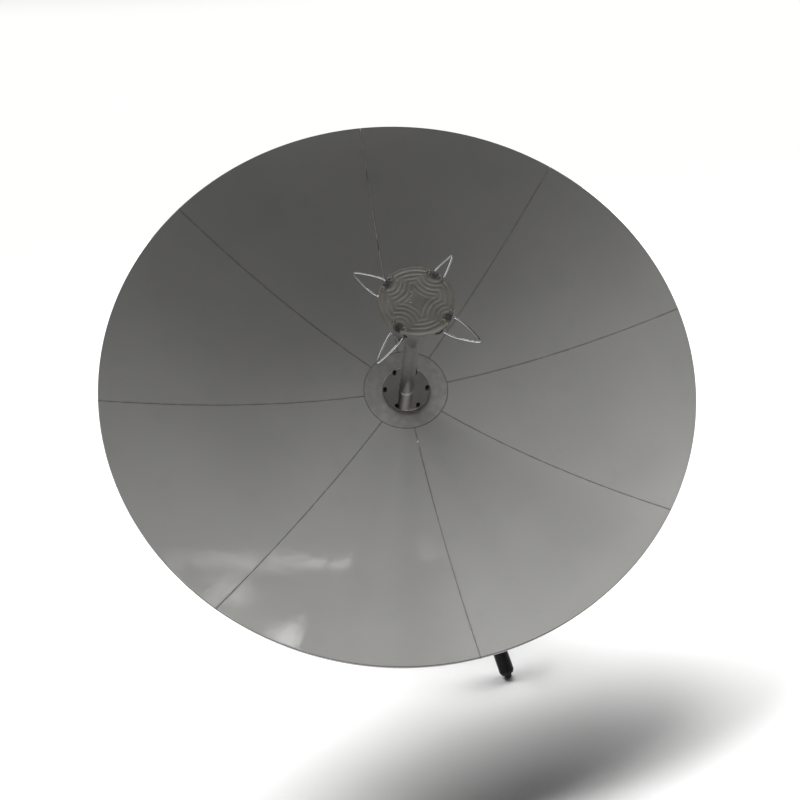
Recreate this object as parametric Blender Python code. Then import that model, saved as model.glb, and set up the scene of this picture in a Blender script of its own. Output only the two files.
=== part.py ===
"""Eight-petal parabolic reflector antenna on a folding tripod with azimuth and elevation axes.

Metres, +Z up. The reflector faces -Y at rest, raised to REST_ELEVATION. The origin is on the
ground, in the middle of the whole antenna's footprint.
"""
import math

import bmesh
import bpy
from mathutils import Matrix, Vector

GAP = 0.0003                      # clearance between touching pieces

# Reflector: a paraboloid z = r^2 / (4 FOCAL), in a frame with its vertex at 0 and +Z along its axis
RIM_RADIUS = 0.900
FOCAL = 0.700
PETALS = 8
SEAM_GAP = 0.0012
SHELL = 0.004
PETAL_FLANGE = 0.026              # depth of the stiffening flange behind a petal's edges
PETAL_FLANGE_WALL = 0.004
PLATE_RADIUS = 0.140              # round plate that fills the middle of the petals
HUB_RADIUS = 0.185
HUB_BACK = -0.075

# Feed, on the reflector's axis
FEED_PHASE = math.radians(47.8)   # direction of the first loop about the axis
FLANGE_RADIUS = 0.079
FLANGE_FRONT = 0.0100
FLANGE_SCREWS = 6
FLANGE_SCREW_CIRCLE = 0.0708
FLANGE_SCREW_PHASE = math.radians(52.5)
COLUMN_RADIUS = 0.0238
COLUMN_WALL = 0.003
COLUMN_TOP = 0.400
NECK_BOTTOM = 0.356
DISC_RADIUS = 0.107
DISC_FRONT = 0.5976
DISC_THICKNESS = 0.016
DISC_STEP_RADIUS = 0.104
DISC_STEP = 0.003                 # depth of the smaller step behind the disc
CLAMP_CENTRE = 0.0976             # distance of a loop clamp from the axis
CLAMP_HALF_WIDTH = 0.0125
HARNESS_HEIGHT = 0.468            # of the combiner inside the neck
CONNECTOR_HEIGHT = -0.045         # of the connector on the hub's side
LOOP_HEIGHT = 0.558
LOOP_BASE = 0.0765
LOOP_TIP = 0.203
LOOP_WIRE = 0.0026                # wire radius
WIDE_LOOP = 0.0387
NARROW_LOOP = 0.0234

# Mount
REST_ELEVATION = math.radians(38)
AZIMUTH_AXIS_Y = 0.3080
PIVOT_HEIGHT = 0.766
VERTEX_OFFSET = 0.340             # from the elevation axis to the vertex
HEAD_RADIUS = 0.170
HEAD_BOTTOM = 0.455
HEAD_TOP = 0.555
TABLE_BOTTOM = 0.5668
TABLE_TOP = 0.585
TABLE_RADIUS = 0.190
YOKE_INNER = 0.095
YOKE_THICKNESS = 0.012
CHEEK_INNER = 0.0725
CHEEK_THICKNESS = 0.010
SHAFT_RADIUS = 0.015

# Elevation drive: a toothed sector on the reflector bracket and a pinion on the yoke
MODULE = 0.004
SECTOR_TEETH = 72                 # of a full circle
PINION_TEETH = 18
SECTOR_PITCH = MODULE * SECTOR_TEETH / 2
PINION_PITCH = MODULE * PINION_TEETH / 2
PINION_ANGLE = math.radians(10)   # of the pinion, below the rearward horizontal
SECTOR_X = 0.0620
SECTOR_THICKNESS = 0.010
CRANK_LENGTH = 0.100

# Tripod
LEGS = 3
LEG_PHASE = math.radians(-69.8)
LEG_HINGE_RADIUS = 0.296
LEG_HINGE_HEIGHT = 0.515
FOOT_RADIUS = 0.540
LEG_TUBE = 0.029
LEG_BORE = 0.0256
EXTENSION = 0.025
FOOT_NUB = 0.012

LEG_TILT = math.atan2(FOOT_RADIUS - LEG_HINGE_RADIUS, LEG_HINGE_HEIGHT - FOOT_NUB)
LEG_LENGTH = math.hypot(FOOT_RADIUS - LEG_HINGE_RADIUS, LEG_HINGE_HEIGHT - FOOT_NUB)


# ---------------------------------------------------------------- helpers

def material(name, colour, roughness, metallic):
    made = bpy.data.materials.new(name)
    made.use_nodes = True
    shader = made.node_tree.nodes["Principled BSDF"]
    shader.inputs["Base Color"].default_value = (*colour, 1.0)
    shader.inputs["Roughness"].default_value = roughness
    shader.inputs["Metallic"].default_value = metallic
    return made


def empty(name, location, rotation=Matrix.Identity(3), parent=None):
    """A named frame on a joint's axis. Rotation is a 3 x 3 matrix."""
    made = bpy.data.objects.new(name, None)
    bpy.context.collection.objects.link(made)
    made.parent = parent
    made.matrix_local = Matrix.Translation(location) @ rotation.to_4x4()
    return made


def finish(name, mesh, surface, parent, location=(0, 0, 0)):
    made = bpy.data.objects.new(name, mesh)
    bpy.context.collection.objects.link(made)
    made.parent = parent
    made.location = location
    if surface:
        made.data.materials.append(surface)
    else:
        made.hide_render = True
        made.display_type = 'WIRE'
    mesh.shade_smooth()
    mesh.set_sharp_from_angle(angle=math.radians(35))
    return made


def to_mesh(work, name="shape"):
    bmesh.ops.recalc_face_normals(work, faces=work.faces)
    mesh = bpy.data.meshes.new(name)
    work.to_mesh(mesh)
    work.free()
    return mesh


def turned(profile, sides, work=None, place=Matrix.Identity(4)):
    """Turn a closed (radius, height) outline about Z. Points on the axis close it with a pole."""
    work = work or bmesh.new()
    rings = []
    for radius, height in profile:
        if radius < 1e-6:
            rings.append([work.verts.new(place @ Vector((0, 0, height)))])
            continue
        rings.append([
            work.verts.new(place @ Vector((
                radius * math.cos(math.tau * side / sides),
                radius * math.sin(math.tau * side / sides), height)))
            for side in range(sides)])
    for index, ring in enumerate(rings):
        after = rings[(index + 1) % len(rings)]
        if len(ring) == 1 and len(after) == 1:
            continue
        for side in range(sides):
            corners = [ring[side % len(ring)], ring[(side + 1) % len(ring)],
                       after[(side + 1) % len(after)], after[side % len(after)]]
            unique = list(dict.fromkeys(corners))
            work.faces.new(unique)
    return work


def rod(radius, low, high, sides, work=None, place=Matrix.Identity(4)):
    return turned([(0, low), (radius, low), (radius, high), (0, high)], sides, work, place)


def prism(outline, low, high, work=None, place=Matrix.Identity(4)):
    """Extrude an (x, y) outline from z = low to z = high."""
    work = work or bmesh.new()
    floor = [work.verts.new(place @ Vector((x, y, low))) for x, y in outline]
    roof = [work.verts.new(place @ Vector((x, y, high))) for x, y in outline]
    count = len(outline)
    work.faces.new(floor[::-1])
    work.faces.new(roof)
    for index in range(count):
        after = (index + 1) % count
        work.faces.new([floor[index], floor[after], roof[after], roof[index]])
    return work


def block(low, high, work=None, place=Matrix.Identity(4)):
    outline = [(low[0], low[1]), (high[0], low[1]), (high[0], high[1]), (low[0], high[1])]
    return prism(outline, low[2], high[2], work, place)


def swept(path, radius, sides, work=None, closed=False, place=Matrix.Identity(4)):
    """A round tube along a list of points, with flat ends where it isn't closed."""
    work = work or bmesh.new()
    points = [Vector(point) for point in path]
    count = len(points)
    rings = []
    normal = None
    for index, point in enumerate(points):
        before = points[index - 1] if index or closed else point
        after = points[(index + 1) % count] if index < count - 1 or closed else point
        tangent = (after - before).normalized()
        normal = tangent.orthogonal() if normal is None else normal - tangent * normal.dot(tangent)
        normal.normalize()
        across = tangent.cross(normal)
        rings.append([
            work.verts.new(place @ (point + radius * (
                normal * math.cos(math.tau * side / sides)
                + across * math.sin(math.tau * side / sides))))
            for side in range(sides)])
    spans = count if closed else count - 1
    for index in range(spans):
        ring, after = rings[index], rings[(index + 1) % count]
        for side in range(sides):
            turn = (side + 1) % sides
            work.faces.new([ring[side], ring[turn], after[turn], after[side]])
    if not closed:
        work.faces.new(rings[0][::-1])
        work.faces.new(rings[-1])
    return work


def arc(centre, radius, start, stop, steps):
    return [(centre[0] + radius * math.cos(start + (stop - start) * step / steps),
             centre[1] + radius * math.sin(start + (stop - start) * step / steps))
            for step in range(steps + 1)]


def wrapped(circles, steps=24):
    """The convex outline around (x, y, radius) circles."""
    points = [point for x, y, radius in circles
              for point in arc((x, y), radius, 0, math.tau * (1 - 1 / steps), steps - 1)]
    points = sorted(set(points))
    chains = []
    for ordered in (points, points[::-1]):
        chain = []
        for point in ordered:
            while len(chain) > 1:
                (ax, ay), (bx, by) = chain[-2], chain[-1]
                if (bx - ax) * (point[1] - ay) - (by - ay) * (point[0] - ax) > 1e-12:
                    break
                chain.pop()
            chain.append(point)
        chains += chain[:-1]
    return chains


def boolean(target, tool, operation='DIFFERENCE'):
    change = target.modifiers.new(operation.title(), 'BOOLEAN')
    change.operation = operation
    change.object = tool
    change.solver = 'EXACT'


def about_z(angle):
    return Matrix.Rotation(angle, 4, 'Z')


def dish(radius):
    return radius * radius / (4 * FOCAL)


# Puts a shape drawn in (y, z) with thickness along x: prism x, y, z become world y, z, x
SIDEWAYS = Matrix(((0, 0, 1, 0), (1, 0, 0, 0), (0, 1, 0, 0), (0, 0, 0, 1)))
ALONG_X = Matrix.Rotation(math.radians(90), 4, 'Y')
ALONG_Y = Matrix.Rotation(math.radians(-90), 4, 'X')


# ---------------------------------------------------------------- reflector

def petal_mesh():
    """One petal about +X: a curved shell with a flange behind its sides and its rim."""
    half = math.pi / PETALS
    start = HUB_RADIUS + 0.004    # the side flanges start outside the hub
    span = RIM_RADIUS - PETAL_FLANGE_WALL - start
    rows = ([PLATE_RADIUS + SEAM_GAP] + [start + span * step / 6 for step in range(7)]
            + [RIM_RADIUS])
    columns = 6
    work = bmesh.new()
    front, back = [], []
    for radius in rows:
        edge = half - math.asin(SEAM_GAP / 2 / radius)
        inner = half - math.asin((SEAM_GAP / 2 + PETAL_FLANGE_WALL) / radius)
        angles = [-edge] + [inner * (2 * step / columns - 1) for step in range(columns + 1)] + [edge]
        normal_tilt = math.atan2(radius, 2 * FOCAL)
        front.append([])
        back.append([])
        for angle in angles:
            across = Vector((math.cos(angle), math.sin(angle), 0))
            point = across * radius + Vector((0, 0, dish(radius)))
            outward = across * math.sin(normal_tilt) - Vector((0, 0, math.cos(normal_tilt)))
            front[-1].append(work.verts.new(point))
            back[-1].append(work.verts.new(point + outward * SHELL))
    last = len(rows) - 1
    width = columns + 2
    rear_flange = []
    for row in range(last):
        for column in range(width):
            work.faces.new([front[row][column], front[row + 1][column],
                            front[row + 1][column + 1], front[row][column + 1]])
            face = work.faces.new([back[row][column], back[row][column + 1],
                                   back[row + 1][column + 1], back[row + 1][column]])
            if row and (column in (0, width - 1) or row == last - 1):
                rear_flange.append(face)
    for row in range(last):
        for column in (0, width):
            work.faces.new([front[row][column], front[row + 1][column],
                            back[row + 1][column], back[row][column]])
    for column in range(width):
        for row in (0, last):
            work.faces.new([front[row][column], front[row][column + 1],
                            back[row][column + 1], back[row][column]])
    bmesh.ops.recalc_face_normals(work, faces=work.faces)
    grown = bmesh.ops.extrude_face_region(work, geom=rear_flange)
    deeper = [item for item in grown["geom"] if isinstance(item, bmesh.types.BMVert)]
    for vert in deeper:
        vert.co.z -= PETAL_FLANGE - SHELL
    bmesh.ops.delete(work, geom=rear_flange, context='FACES')
    return to_mesh(work, "petal")


def build_reflector(frame, surfaces):
    vertex = (0, 0, VERTEX_OFFSET)
    shell = petal_mesh()
    for number in range(PETALS):
        middle = math.radians(90) - (number + 0.5) * math.tau / PETALS
        petal = finish(f"petal_{number + 1}", shell, surfaces["gelcoat"], frame, vertex)
        petal.rotation_euler = (0, 0, middle)
        shell = shell.copy()
        shell.materials.clear()
    rings = [0.0090, 0.080, PLATE_RADIUS]
    plate_outline = ([(radius, dish(radius)) for radius in rings]
                     + [(radius, dish(radius) - SHELL) for radius in reversed(rings)])
    plate = finish("centre_plate", to_mesh(turned(plate_outline, 40)), surfaces["gelcoat"],
                   frame, vertex)

    rings = [0.0095, 0.080, 0.145, HUB_RADIUS]
    front = [(radius, dish(radius) - SHELL - GAP) for radius in rings]
    hub_outline = front + [(HUB_RADIUS, front[-1][1] - 0.009), (0.132, front[-2][1] - 0.011),
                           (0.128, HUB_BACK), (0.030, HUB_BACK), (0.030, HUB_BACK + 0.008),
                           (0.119, HUB_BACK + 0.008), (0.119, -0.016), (0.0095, -0.016)]
    hub = finish("hub_casting", to_mesh(turned(hub_outline, 24)), surfaces["casting"],
                 frame, vertex)

    flange_back = dish(FLANGE_RADIUS) + GAP
    flange_outline = [(0.0090, flange_back), (FLANGE_RADIUS, flange_back),
                      (FLANGE_RADIUS, FLANGE_FRONT - 0.0008),
                      (FLANGE_RADIUS - 0.0008, FLANGE_FRONT), (0.0090, FLANGE_FRONT)]
    flange = finish("feed_flange", to_mesh(turned(flange_outline, 32)), surfaces["polished"],
                    frame, vertex)

    holes = bmesh.new()
    top = FLANGE_FRONT + GAP
    for number in range(FLANGE_SCREWS):
        angle = FLANGE_SCREW_PHASE + number * math.tau / FLANGE_SCREWS
        place = about_z(angle) @ Matrix.Translation((FLANGE_SCREW_CIRCLE, 0, 0))
        screw = turned([(0, -0.014), (0.0038, -0.014), (0.0038, top), (0.0065, top),
                        (0.0065, top + 0.0072), (0.0057, top + 0.008), (0.0033, top + 0.008),
                        (0.0033, top + 0.004), (0, top + 0.004)], 10, None, place)
        finish(f"flange_screw_{number + 1}", to_mesh(screw), surfaces["black"], frame, vertex)
        rod(0.0042, -0.030, 0.030, 8, holes, place)
    screw_holes = finish("flange_screw_holes", to_mesh(holes), None, frame, vertex)
    for part in (flange, plate, hub):
        boolean(part, screw_holes)
    return hub


def loop_path(half_width):
    """A teardrop in the plane z = 0 with its point outwards, along +X."""
    taper = 0.70
    points = []
    steps = 24
    for step in range(steps):
        turn = math.tau * step / steps
        rise = (1 - math.cos(turn)) / 2
        points.append((LOOP_BASE + (LOOP_TIP - LOOP_BASE) * rise,
                       half_width * math.sin(turn) * (1 - taper * rise), 0))
    return points


def build_harness(frame, surfaces):
    """The combiner inside the neck, its four coax jumpers and the line down to the connector."""
    vertex = (0, 0, VERTEX_OFFSET)
    level = CONNECTOR_HEIGHT
    combiner = rod(0.030, HARNESS_HEIGHT - 0.014, HARNESS_HEIGHT + 0.014, 16)
    harness = finish("feed_harness", to_mesh(combiner), surfaces["black"], frame, vertex)
    for number in range(4):
        turn = about_z(FEED_PHASE + number * math.tau / 4)
        route = [(0.089, 0, 0.5447), (0.089, 0, 0.530)]
        route += [(out, 0, HARNESS_HEIGHT + rise) for out, rise in (
            (0.0885, 0.046), (0.086, 0.030), (0.081, 0.017), (0.074, 0.008), (0.066, 0.002),
            (0.054, 0), (0.025, 0))]
        jumper = to_mesh(swept(route, 0.0028, 6, None, False, turn))
        boolean(harness, finish(f"jumper_{number + 1}", jumper, None, frame, vertex), 'UNION')
    bend = 0.028
    route = [(0, 0, HARNESS_HEIGHT - 0.010), (0, 0, 0.25), (0, 0, level + bend)]
    route += [(0, y, z) for y, z in arc((-bend, level + bend), bend, 0, -math.pi / 2, 6)][1:]
    route += [(0, -0.112, level)]
    line = to_mesh(swept(route, 0.0055, 8))
    boolean(harness, finish("feed_line", line, None, frame, vertex), 'UNION')


def build_feed(frame, surfaces, hub):
    vertex = (0, 0, VERTEX_OFFSET)
    column_bottom = FLANGE_FRONT + GAP
    inner = COLUMN_RADIUS - COLUMN_WALL
    column = [(inner, column_bottom), (COLUMN_RADIUS, column_bottom),
              (COLUMN_RADIUS, COLUMN_TOP), (inner, COLUMN_TOP)]
    finish("feed_column", to_mesh(turned(column, 24)), surfaces["aluminium"], frame, vertex)

    disc_back = DISC_FRONT - DISC_THICKNESS
    step_back = disc_back - DISC_STEP
    neck_top = step_back - GAP
    bore = COLUMN_RADIUS + GAP
    neck = [(bore, NECK_BOTTOM), (0.0258, NECK_BOTTOM),
            (0.0275, 0.366), (0.0330, 0.392), (0.0400, 0.418), (0.0500, 0.460),
            (0.0570, 0.530), (0.0590, 0.566), (0.0640, 0.569), (0.0640, neck_top),
            (0.0400, neck_top), (0.0400, 0.566), (0.0500, 0.560), (0.0440, 0.460),
            (0.0360, 0.412), (bore, 0.4045)]
    neck = finish("feed_neck", to_mesh(turned(neck, 20)), surfaces["aluminium"], frame, vertex)

    disc_outline = [(0, step_back), (DISC_STEP_RADIUS, step_back), (DISC_STEP_RADIUS, disc_back),
                    (DISC_RADIUS, disc_back + 0.001), (DISC_RADIUS, DISC_FRONT - 0.001),
                    (DISC_RADIUS - 0.001, DISC_FRONT), (0, DISC_FRONT)]
    disc = finish("feed_disc", to_mesh(turned(disc_outline, 40)), surfaces["machined"],
                  frame, vertex)

    notches, ports = bmesh.new(), bmesh.new()
    slot = 0.0130
    reach = DISC_RADIUS + 0.03
    for number in range(4):
        turn = about_z(FEED_PHASE + number * math.tau / 4)
        outline = arc((CLAMP_CENTRE, 0), slot, math.radians(90), math.radians(270), 8)
        prism(outline + [(reach, -slot), (reach, slot)], 0.57, 0.61, notches, turn)
        shell = slot - 0.0005
        stem = arc((CLAMP_CENTRE, 0), shell, math.radians(90), math.radians(270), 8)
        clamp = prism(stem + [(0.1065, -shell), (0.1065, shell)], 0.570, DISC_FRONT + 0.003,
                      None, turn)
        insulator = finish(f"loop_clamp_{number + 1}", to_mesh(clamp), surfaces["black"],
                           frame, vertex)
        body = block((0.070, -CLAMP_HALF_WIDTH, 0.545), (0.1085, CLAMP_HALF_WIDTH, neck_top),
                     None, turn)
        base = finish(f"loop_clamp_body_{number + 1}", to_mesh(body), None, frame, vertex)
        boolean(insulator, base, 'UNION')

        size = WIDE_LOOP if number % 2 else NARROW_LOOP
        wire = swept(loop_path(size), LOOP_WIRE, 6, None, True,
                     turn @ Matrix.Translation((0, 0, LOOP_HEIGHT)))
        loop = finish(f"feed_loop_{number + 1}", to_mesh(wire), surfaces["chrome"], frame, vertex)
        room = CLAMP_HALF_WIDTH + GAP
        trim = block((0.060, -room, 0.54), (0.1085 + GAP, room, 0.58), None, turn)
        boolean(loop, finish(f"loop_trim_{number + 1}", to_mesh(trim), None, frame, vertex))
        rod(0.0036, 0.030, 0.070, 8, ports, turn @ Matrix.Translation((0, 0, HARNESS_HEIGHT))
            @ ALONG_X)
    boolean(disc, finish("feed_notches", to_mesh(notches), None, frame, vertex))
    boolean(neck, finish("neck_ports", to_mesh(ports), None, frame, vertex))
    build_harness(frame, surfaces)

    level = CONNECTOR_HEIGHT
    out = ALONG_Y @ Matrix.Rotation(math.pi, 4, 'X')
    outward = Matrix.Translation((0, 0, level)) @ out
    connector = turned([(0, 0.1135), (0.0070, 0.1135), (0.0070, 0.1320), (0.0130, 0.1320),
                        (0.0130, 0.1360), (0.0078, 0.1360), (0.0078, 0.1400), (0.0100, 0.1400),
                        (0.0100, 0.1560), (0.0060, 0.1560), (0.0060, 0.1480), (0, 0.1480)],
                       16, None, outward)
    finish("rf_connector", to_mesh(connector), surfaces["steel"], frame, vertex)
    socket = rod(0.0075, 0.100, 0.140, 16, None, outward)
    boolean(hub, finish("rf_socket", to_mesh(socket), None, frame, vertex))


# ---------------------------------------------------------------- elevation bracket and drive

def toothed(teeth, pitch, first, last, phase):
    """Tooth outline points from tooth first to tooth last, counted about the gear's centre."""
    tip = pitch + 0.80 * MODULE
    root = pitch - 1.10 * MODULE
    step = math.tau / teeth
    points = []
    for tooth in range(first, last + 1):
        middle = phase + tooth * step
        for radius, offset in ((root, -0.33), (tip, -0.13), (tip, 0.13), (root, 0.33)):
            points.append((radius * math.cos(middle + offset * step),
                           radius * math.sin(middle + offset * step)))
    return points


def build_bracket(frame, surfaces):
    """The bracket that carries the reflector's hub, between two cheeks on the elevation axis."""
    face_back, face_front = 0.2500, VERTEX_OFFSET + HUB_BACK - GAP
    work = block((-0.110, -0.105, face_back), (0.110, 0.105, face_front))
    bracket = finish("elevation_bracket", to_mesh(work), surfaces["painted"], frame)
    for side, name in ((-1, "left"), (1, "right")):
        low = min(side * CHEEK_INNER, side * (CHEEK_INNER + CHEEK_THICKNESS))
        outline = wrapped([(0, 0, 0.042), (-0.092, 0.2515, 0.004), (0.092, 0.2515, 0.004)])
        cheek = prism(outline, low, low + CHEEK_THICKNESS, None, SIDEWAYS)
        boolean(bracket, finish(f"cheek_{name}", to_mesh(cheek), None, frame), 'UNION')
        hole = wrapped([(0, 0.200, 0.022), (0, 0.115, 0.012)], 16)
        window = prism(hole, low - 0.01, low + CHEEK_THICKNESS + 0.01, None, SIDEWAYS)
        boolean(bracket, finish(f"cheek_window_{name}", to_mesh(window), None, frame))
    tie = rod(0.016, -0.075, 0.075, 16, None, Matrix.Translation((0, 0, 0.070)) @ ALONG_X)
    boolean(bracket, finish("cheek_tie", to_mesh(tie), None, frame), 'UNION')
    bush_hole = rod(0.0193, -0.09, 0.09, 24, None, ALONG_X)
    bore = finish("bush_holes", to_mesh(bush_hole), None, frame)
    boolean(bracket, bore)
    opening = rod(0.045, 0.20, 0.30, 32)
    boolean(bracket, finish("face_hole", to_mesh(opening), None, frame))

    wall = SHAFT_RADIUS + 0.0004
    inside, outside = CHEEK_INNER - 0.0002, CHEEK_INNER + CHEEK_THICKNESS
    for side, name in ((math.pi, "left"), (0, "right")):
        bush = turned([(wall, inside), (0.0190, inside), (0.0190, outside + GAP),
                       (0.0260, outside + GAP), (0.0260, YOKE_INNER - GAP),
                       (wall, YOKE_INNER - GAP)], 20, None, about_z(side) @ ALONG_X)
        finish(f"elevation_bush_{name}", to_mesh(bush), surfaces["bronze"], frame)

    rest = -(REST_ELEVATION - PINION_ANGLE)
    pitch_step = math.tau / SECTOR_TEETH
    first = -12
    last = 5
    sector = toothed(SECTOR_TEETH, SECTOR_PITCH, first, last, rest + pitch_step / 2)
    start = rest + pitch_step / 2 + (last + 0.9) * pitch_step
    stop = rest + pitch_step / 2 + (first - 0.9) * pitch_step
    inner = 0.118
    rim_start = [(radius * math.cos(start), radius * math.sin(start))
                 for radius in (SECTOR_PITCH - 1.10 * MODULE, inner)]
    rim_stop = [(radius * math.cos(stop), radius * math.sin(stop))
                for radius in (inner, SECTOR_PITCH - 1.10 * MODULE)]
    outline = sector + rim_start + arc((0, 0), inner, start, stop, 14)[1:-1] + rim_stop
    # Angles run from the rearward axis (-Z) towards the reflector's lower side (-Y)
    turn_in = Matrix(((0, 0, 1, 0), (0, -1, 0, 0), (-1, 0, 0, 0), (0, 0, 0, 1)))
    work = prism(outline, SECTOR_X, SECTOR_X + SECTOR_THICKNESS, None, turn_in)
    gear = finish("elevation_sector", to_mesh(work), surfaces["steel"], frame)
    middle = (start + stop) / 2
    spoke_outlines = []
    for angle in (start - 0.08, middle, stop + 0.08):
        spoke_outlines.append(wrapped([(0, 0, 0.012), (0.122 * math.cos(angle),
                                                       0.122 * math.sin(angle), 0.007)], 16))
    for number, spoke in enumerate(spoke_outlines):
        arm = prism(spoke, SECTOR_X, SECTOR_X + SECTOR_THICKNESS, None, turn_in)
        boolean(gear, finish(f"sector_spoke_{number}", to_mesh(arm), None, frame), 'UNION')
    nave = rod(0.036, SECTOR_X, SECTOR_X + SECTOR_THICKNESS, 28, None, turn_in)
    boolean(gear, finish("sector_nave", to_mesh(nave), None, frame), 'UNION')
    centre = rod(0.0193, 0.05, 0.09, 24, None, turn_in)
    boolean(gear, finish("sector_bore", to_mesh(centre), None, frame))


def build_turntable(azimuth, surfaces):
    """Everything that turns about the vertical axis but doesn't tilt."""
    pivot = PIVOT_HEIGHT
    spindle = HEAD_BOTTOM + 0.008
    table = [(0.012, spindle), (0.028, spindle), (0.028, TABLE_BOTTOM), (TABLE_RADIUS, TABLE_BOTTOM),
             (TABLE_RADIUS, TABLE_TOP - 0.002), (TABLE_RADIUS - 0.002, TABLE_TOP),
             (0.012, TABLE_TOP)]
    turntable = finish("turntable", to_mesh(turned(table, 32)), surfaces["painted"], azimuth)

    pinion_y = (SECTOR_PITCH + PINION_PITCH) * math.cos(PINION_ANGLE)
    pinion_z = pivot - (SECTOR_PITCH + PINION_PITCH) * math.sin(PINION_ANGLE)
    foot_low = TABLE_TOP + GAP
    shafts = bmesh.new()
    rod(SHAFT_RADIUS + GAP, -0.15, 0.15, 20, shafts, Matrix.Translation((0, 0, pivot)) @ ALONG_X)
    rod(0.0104, -0.15, 0.15, 16, shafts, Matrix.Translation((0, pinion_y, pinion_z)) @ ALONG_X)
    shaft_holes = finish("shaft_holes", to_mesh(shafts), None, azimuth)
    for side, name in ((-1, "left"), (1, "right")):
        low = min(side * YOKE_INNER, side * (YOKE_INNER + YOKE_THICKNESS))
        outline = wrapped([(0, pivot, 0.046), (pinion_y, pinion_z, 0.026),
                           (-0.085, foot_low + 0.003, 0.003), (0.118, foot_low + 0.003, 0.003)])
        arm = prism(outline, low, low + YOKE_THICKNESS, None, SIDEWAYS)
        yoke = finish(f"yoke_{name}", to_mesh(arm), surfaces["painted"], azimuth)
        inner, outer = sorted((side * (YOKE_INNER + 0.004), side * (YOKE_INNER + 0.040)))
        foot = block((inner, -0.085, foot_low), (outer, 0.118, foot_low + 0.012))
        boolean(yoke, finish(f"yoke_foot_{name}", to_mesh(foot), None, azimuth), 'UNION')
        boolean(yoke, shaft_holes)
        window = prism(wrapped([(0.052, foot_low + 0.065, 0.024), (0.035, pivot - 0.090, 0.020)],
                               16), low - 0.01, low + YOKE_THICKNESS + 0.01, None, SIDEWAYS)
        boolean(yoke, finish(f"yoke_window_{name}", to_mesh(window), None, azimuth))

    shaft = turned([(0, -0.128), (SHAFT_RADIUS - 0.001, -0.128), (SHAFT_RADIUS, -0.127),
                    (SHAFT_RADIUS, 0.1073 + GAP), (0.022, 0.1073 + GAP), (0.022, 0.113),
                    (0.020, 0.115), (0, 0.115)], 20, None,
                   Matrix.Translation((0, 0, pivot)) @ ALONG_X)
    finish("elevation_shaft", to_mesh(shaft), surfaces["steel"], azimuth)
    return pinion_y, pinion_z


def build_crank(azimuth, surfaces, pinion_y, pinion_z):
    # The tooth that meets the sector at rest points back at the elevation axis
    axle = empty("crank_axis", (0, pinion_y, pinion_z), parent=azimuth)
    # Outline angles run from +Y towards +Z
    towards_sector = math.pi - PINION_ANGLE
    outline = toothed(PINION_TEETH, PINION_PITCH, 0, PINION_TEETH - 1, towards_sector)
    work = prism(outline, SECTOR_X - 0.002, SECTOR_X + SECTOR_THICKNESS + 0.002, None, SIDEWAYS)
    pinion = finish("elevation_pinion", to_mesh(work), surfaces["steel"], axle)
    spindle = turned([(0, 0.050), (0.010, 0.050), (0.010, 0.118), (0.007, 0.118),
                      (0.007, 0.1345), (0, 0.1345)], 12, None, ALONG_X)
    boolean(pinion, finish("pinion_spindle", to_mesh(spindle), None, axle), 'UNION')

    # The crank arm stands straight up at rest
    arm = wrapped([(0, 0, 0.014), (0, CRANK_LENGTH, 0.010)], 20)
    lever = finish("crank_arm", to_mesh(prism(arm, 0.119, 0.127, None, SIDEWAYS)),
                   surfaces["painted"], axle)
    bore = rod(0.0073, 0.10, 0.14, 16, None, ALONG_X)
    boolean(lever, finish("crank_bore", to_mesh(bore), None, axle))
    stub = rod(0.0045, 0.1265, 0.168, 12, None,
               Matrix.Translation((0, 0, CRANK_LENGTH)) @ ALONG_X)
    boolean(lever, finish("crank_stub", to_mesh(stub), None, axle), 'UNION')

    grip_axis = empty("crank_knob_axis", (0, 0, CRANK_LENGTH), parent=axle)
    grip = [(0.0049, 0.1275), (0.0090, 0.1275), (0.0120, 0.134), (0.0130, 0.146),
            (0.0120, 0.160), (0.0090, 0.1665), (0.0049, 0.1675)]
    finish("crank_knob", to_mesh(turned(grip, 18, None, ALONG_X)), surfaces["black"], grip_axis)


def build_brake(azimuth, surfaces):
    axle = empty("brake_axis", (0, 0, PIVOT_HEIGHT), parent=azimuth)
    outer = -(YOKE_INNER + YOKE_THICKNESS)
    arm = wrapped([(0, 0, 0.024), (0.088, -0.040, 0.009)], 22)
    lever = finish("brake_lever", to_mesh(prism(arm, outer - 0.0143, outer - GAP, None,
                                                SIDEWAYS)), surfaces["black"], axle)
    bore = rod(SHAFT_RADIUS + GAP, -0.14, -0.10, 20, None, ALONG_X)
    boolean(lever, finish("brake_bore", to_mesh(bore), None, axle))


# ---------------------------------------------------------------- tripod

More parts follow.
